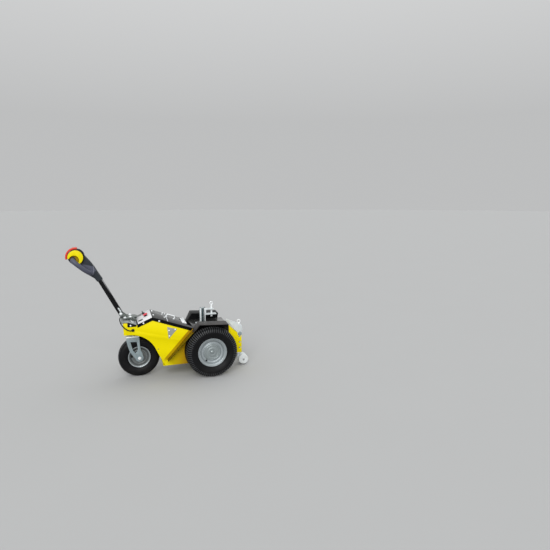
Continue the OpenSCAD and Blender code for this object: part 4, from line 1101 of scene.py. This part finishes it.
def make_handle():
    """The hood handle, bent from round bar."""
    first, last = HANDLE_ENDS
    shoulder = HANDLE_TOP - HANDLE_BEND
    turns = [math.pi / 2 * k / BEND_STEPS for k in range(BEND_STEPS + 1)]
    line = [(first, -1), (first, shoulder)]
    line += [(first + HANDLE_BEND * (1 - math.cos(a)), shoulder + HANDLE_BEND * math.sin(a))
             for a in turns[1:]]
    line += [(last - HANDLE_BEND * (1 - math.sin(a)), shoulder + HANDLE_BEND * math.cos(a))
             for a in turns]
    line += [(last, -1)]
    bm = bmesh.new()
    tube(bm, [rear_facet(x, HANDLE_Y, lift) for x, lift in line], HANDLE_BAR_R, 20, LEFT)
    for x in HANDLE_ENDS:
        lathe(bm, [(0, 0), (9, 0), (9, 1.6), (8, 2.6), (5, 3.2), (0, 3.2)], 24,
              frame_of(rear_facet(x, HANDLE_Y), REAR_UP))
    add_made("hood_handle_bar", bm, BRIGHT_ZINC, "chassis", ("hood_handle",))


HINGE_X = 215
HINGE_REACH = 142
CLIP_PLACES = (-110, 0, 110)
CLIP_HALF = 7


def make_hinge_rod():
    """The thin rod across the hood behind the hatch, in three clips."""
    bm = bmesh.new()
    tube(bm, [rear_facet(HINGE_X, y, 3.2) for y in (-HINGE_REACH, HINGE_REACH)], 2.6, 14, REAR_UP)
    for middle in CLIP_PLACES:
        tube(bm, [rear_facet(HINGE_X, y, 2.4) for y in (middle - CLIP_HALF, middle + CLIP_HALF)],
             4.2, 14, REAR_UP)
    add_made("hatch_hinge_rod", bm, BRIGHT_ZINC, "chassis")


HOOK_ROUTE = [(618, 60), (616, 76), (611, 92), (604, 97), (598, 90), (596, 80)]
HOOK_LIFT = 3.0
HOOK_WIRE_R = 3.2


def make_deck_hook():
    """A bright wire hook that lies on the front deck's slope."""
    bm = bmesh.new()
    line = []
    for x, y in smooth_line(HOOK_ROUTE, 5):
        surface = DIP[1] + (x - DIP[0]) * (DECK_BEND[1] - DIP[1]) / (DECK_BEND[0] - DIP[0])
        line.append(place(x, y, surface + HOOK_LIFT))
    tube(bm, line, HOOK_WIRE_R, 12, UP)
    add_made("deck_hook", bm, BRIGHT_ZINC, "chassis")


LATCH_ROLL_X = 60
LATCH_ROLL_ENDS = (-82, 22)
LATCH_SCREWS = [(49, -96), (71, -96), (49, 36), (71, 36)]


def make_latch_parts():
    """The roll of the hood latch and the screws in its plate."""
    bm = bmesh.new()
    tube(bm, [rear_facet(LATCH_ROLL_X, y, 14) for y in LATCH_ROLL_ENDS], 5.5, 20, REAR_UP)
    for x, y in LATCH_SCREWS:
        round_head(bm, rear_facet(x, y, 4), REAR_UP, 5, 3.2)
    add_made("hood_latch_roll", bm, BRIGHT_ZINC, "chassis")


make_handle()
make_hinge_rod()
make_deck_hook()
make_latch_parts()


# Controls on the panel

ON_PANEL = 2.0
STOP_PLACE = (45, 10)
GAUGE_PLACE = (94, 72.5)
KEY_PLACE = (60, -290 / 3)


def make_stop():
    """The collar and the mushroom head of the emergency stop."""
    matrix = frame_of(front_facet(*STOP_PLACE, ON_PANEL), FRONT_UP)
    bm = bmesh.new()
    lathe(bm, [(0, 0), (15, 0), (15, 2.6), (13.6, 3.6), (12, 4), (12, 12.4), (0, 12.4)], 40,
          matrix)
    add_made("emergency_stop_collar", bm, BLACK_PLASTIC, "chassis")
    bm = bmesh.new()
    lathe(bm, [(0, 11.4), (13, 11.4), (18.6, 12.2), (20, 13.6), (20, 15.4), (18.8, 17.8),
               (15, 20), (9, 21), (0, 21.2)], 48, matrix)
    add_made("emergency_stop_head", bm, STOP_RED, "chassis", ("emergency_stop",))


def make_gauge_face():
    """The lens of the battery gauge."""
    matrix = frame_of(front_facet(*GAUGE_PLACE, ON_PANEL), FRONT_UP)
    bm = bmesh.new()
    lathe(bm, [(0, 4.0), (16.4, 4.0), (15, 4.7), (0, 5.2)], 40, matrix)
    add_made("battery_gauge_lens", bm, GLASS, "chassis")


def make_key_ring():
    """The steel ring on the key switch."""
    matrix = frame_of(front_facet(*KEY_PLACE, ON_PANEL), FRONT_UP)
    bm = bmesh.new()
    lathe(bm, [(8, 9.6), (11.6, 9.6), (11.6, 10.8), (10.6, 11.6), (8, 11.6), (8, 9.6)], 32,
          matrix)
    add_made("key_switch_ring", bm, STEEL, "chassis")


make_stop()
make_gauge_face()
make_key_ring()


# Floor and light

FLOOR_RADIUS = 60
FLOOR_ROUGHNESS = 0.8
FLOOR_SPECULAR = 0.1
FLOOR_SEEN = (0.505, 0.51, 0.51)
FLOOR_BOUNCE = (0.17, 0.17, 0.17)
SKY_TINT = (0.985, 0.995, 1.0)
SKY_LOW = 0.53
SKY_HIGH = 0.68
BACKDROP_LOW = 0.520
BACKDROP_HIGH = 1.0
BACKDROP_FROM = 0.15
SUNS = [
    # name, where it shines from, strength, width of its disc in degrees
    ("key", Vector((0.30, 0.95, 0.55)), 2.0, 45),
    ("rim", Vector((-0.5, -0.6, 1.0)), 0.35, 60),
]


def seen_share(tree):
    """1 for rays that show a surface to the camera, straight or in a reflection, and else 0."""
    path = add_node(tree, "LightPath")
    total = path.outputs["Is Camera Ray"]
    for name in ("Is Glossy Ray", "Is Transmission Ray"):
        total = calculated(tree, "MAXIMUM", total, path.outputs[name])
    return total


def make_floor():
    bm = bmesh.new()
    bmesh.ops.create_circle(bm, cap_ends=True, segments=96, radius=FLOOR_RADIUS)
    mesh = bpy.data.meshes.new("floor")
    bm.to_mesh(mesh)
    bm.free()
    mat = bpy.data.materials.new("floor")
    mat.use_nodes = True
    tree = mat.node_tree
    shader = tree.nodes["Principled BSDF"]
    seen = mixed(tree, noise(tree, 1.5, 3.0), scaled(FLOOR_SEEN, 0.99), scaled(FLOOR_SEEN, 1.01))
    tone = mixed(tree, seen_share(tree), FLOOR_BOUNCE, seen)
    tree.links.new(tone, shader.inputs["Base Color"])
    shader.inputs["Roughness"].default_value = FLOOR_ROUGHNESS
    shader.inputs["Specular IOR Level"].default_value = FLOOR_SPECULAR
    mesh.materials.append(mat)
    floor = bpy.data.objects.new("floor", mesh)
    show(floor)


def make_world():
    """A pale dome, a little brighter overhead."""
    world = bpy.data.worlds.new("studio")
    bpy.context.scene.world = world
    world.use_nodes = True
    tree = world.node_tree
    background = tree.nodes["Background"]
    height = part_of(tree, add_node(tree, "TexCoord").outputs["Generated"], "Z")
    light = spread(tree, height, 0.0, 1.0, SKY_LOW, SKY_HIGH)
    backdrop = spread(tree, height, BACKDROP_FROM, 1.0, BACKDROP_LOW, BACKDROP_HIGH)
    strength = add_node(tree, "Mix", Factor=seen_share(tree), A=light, B=backdrop)
    background.inputs["Color"].default_value = (*SKY_TINT, 1)
    tree.links.new(strength.outputs["Result"], background.inputs["Strength"])


def make_light():
    make_world()
    for name, source, strength, width in SUNS:
        data = bpy.data.lights.new(name, "SUN")
        data.energy = strength
        data.angle = math.radians(width)
        lamp = bpy.data.objects.new(name, data)
        lamp.rotation_euler = (-source).to_track_quat("-Z", "Y").to_euler()
        show(lamp)
    bpy.context.scene.view_settings.view_transform = "Standard"


make_floor()
make_light()
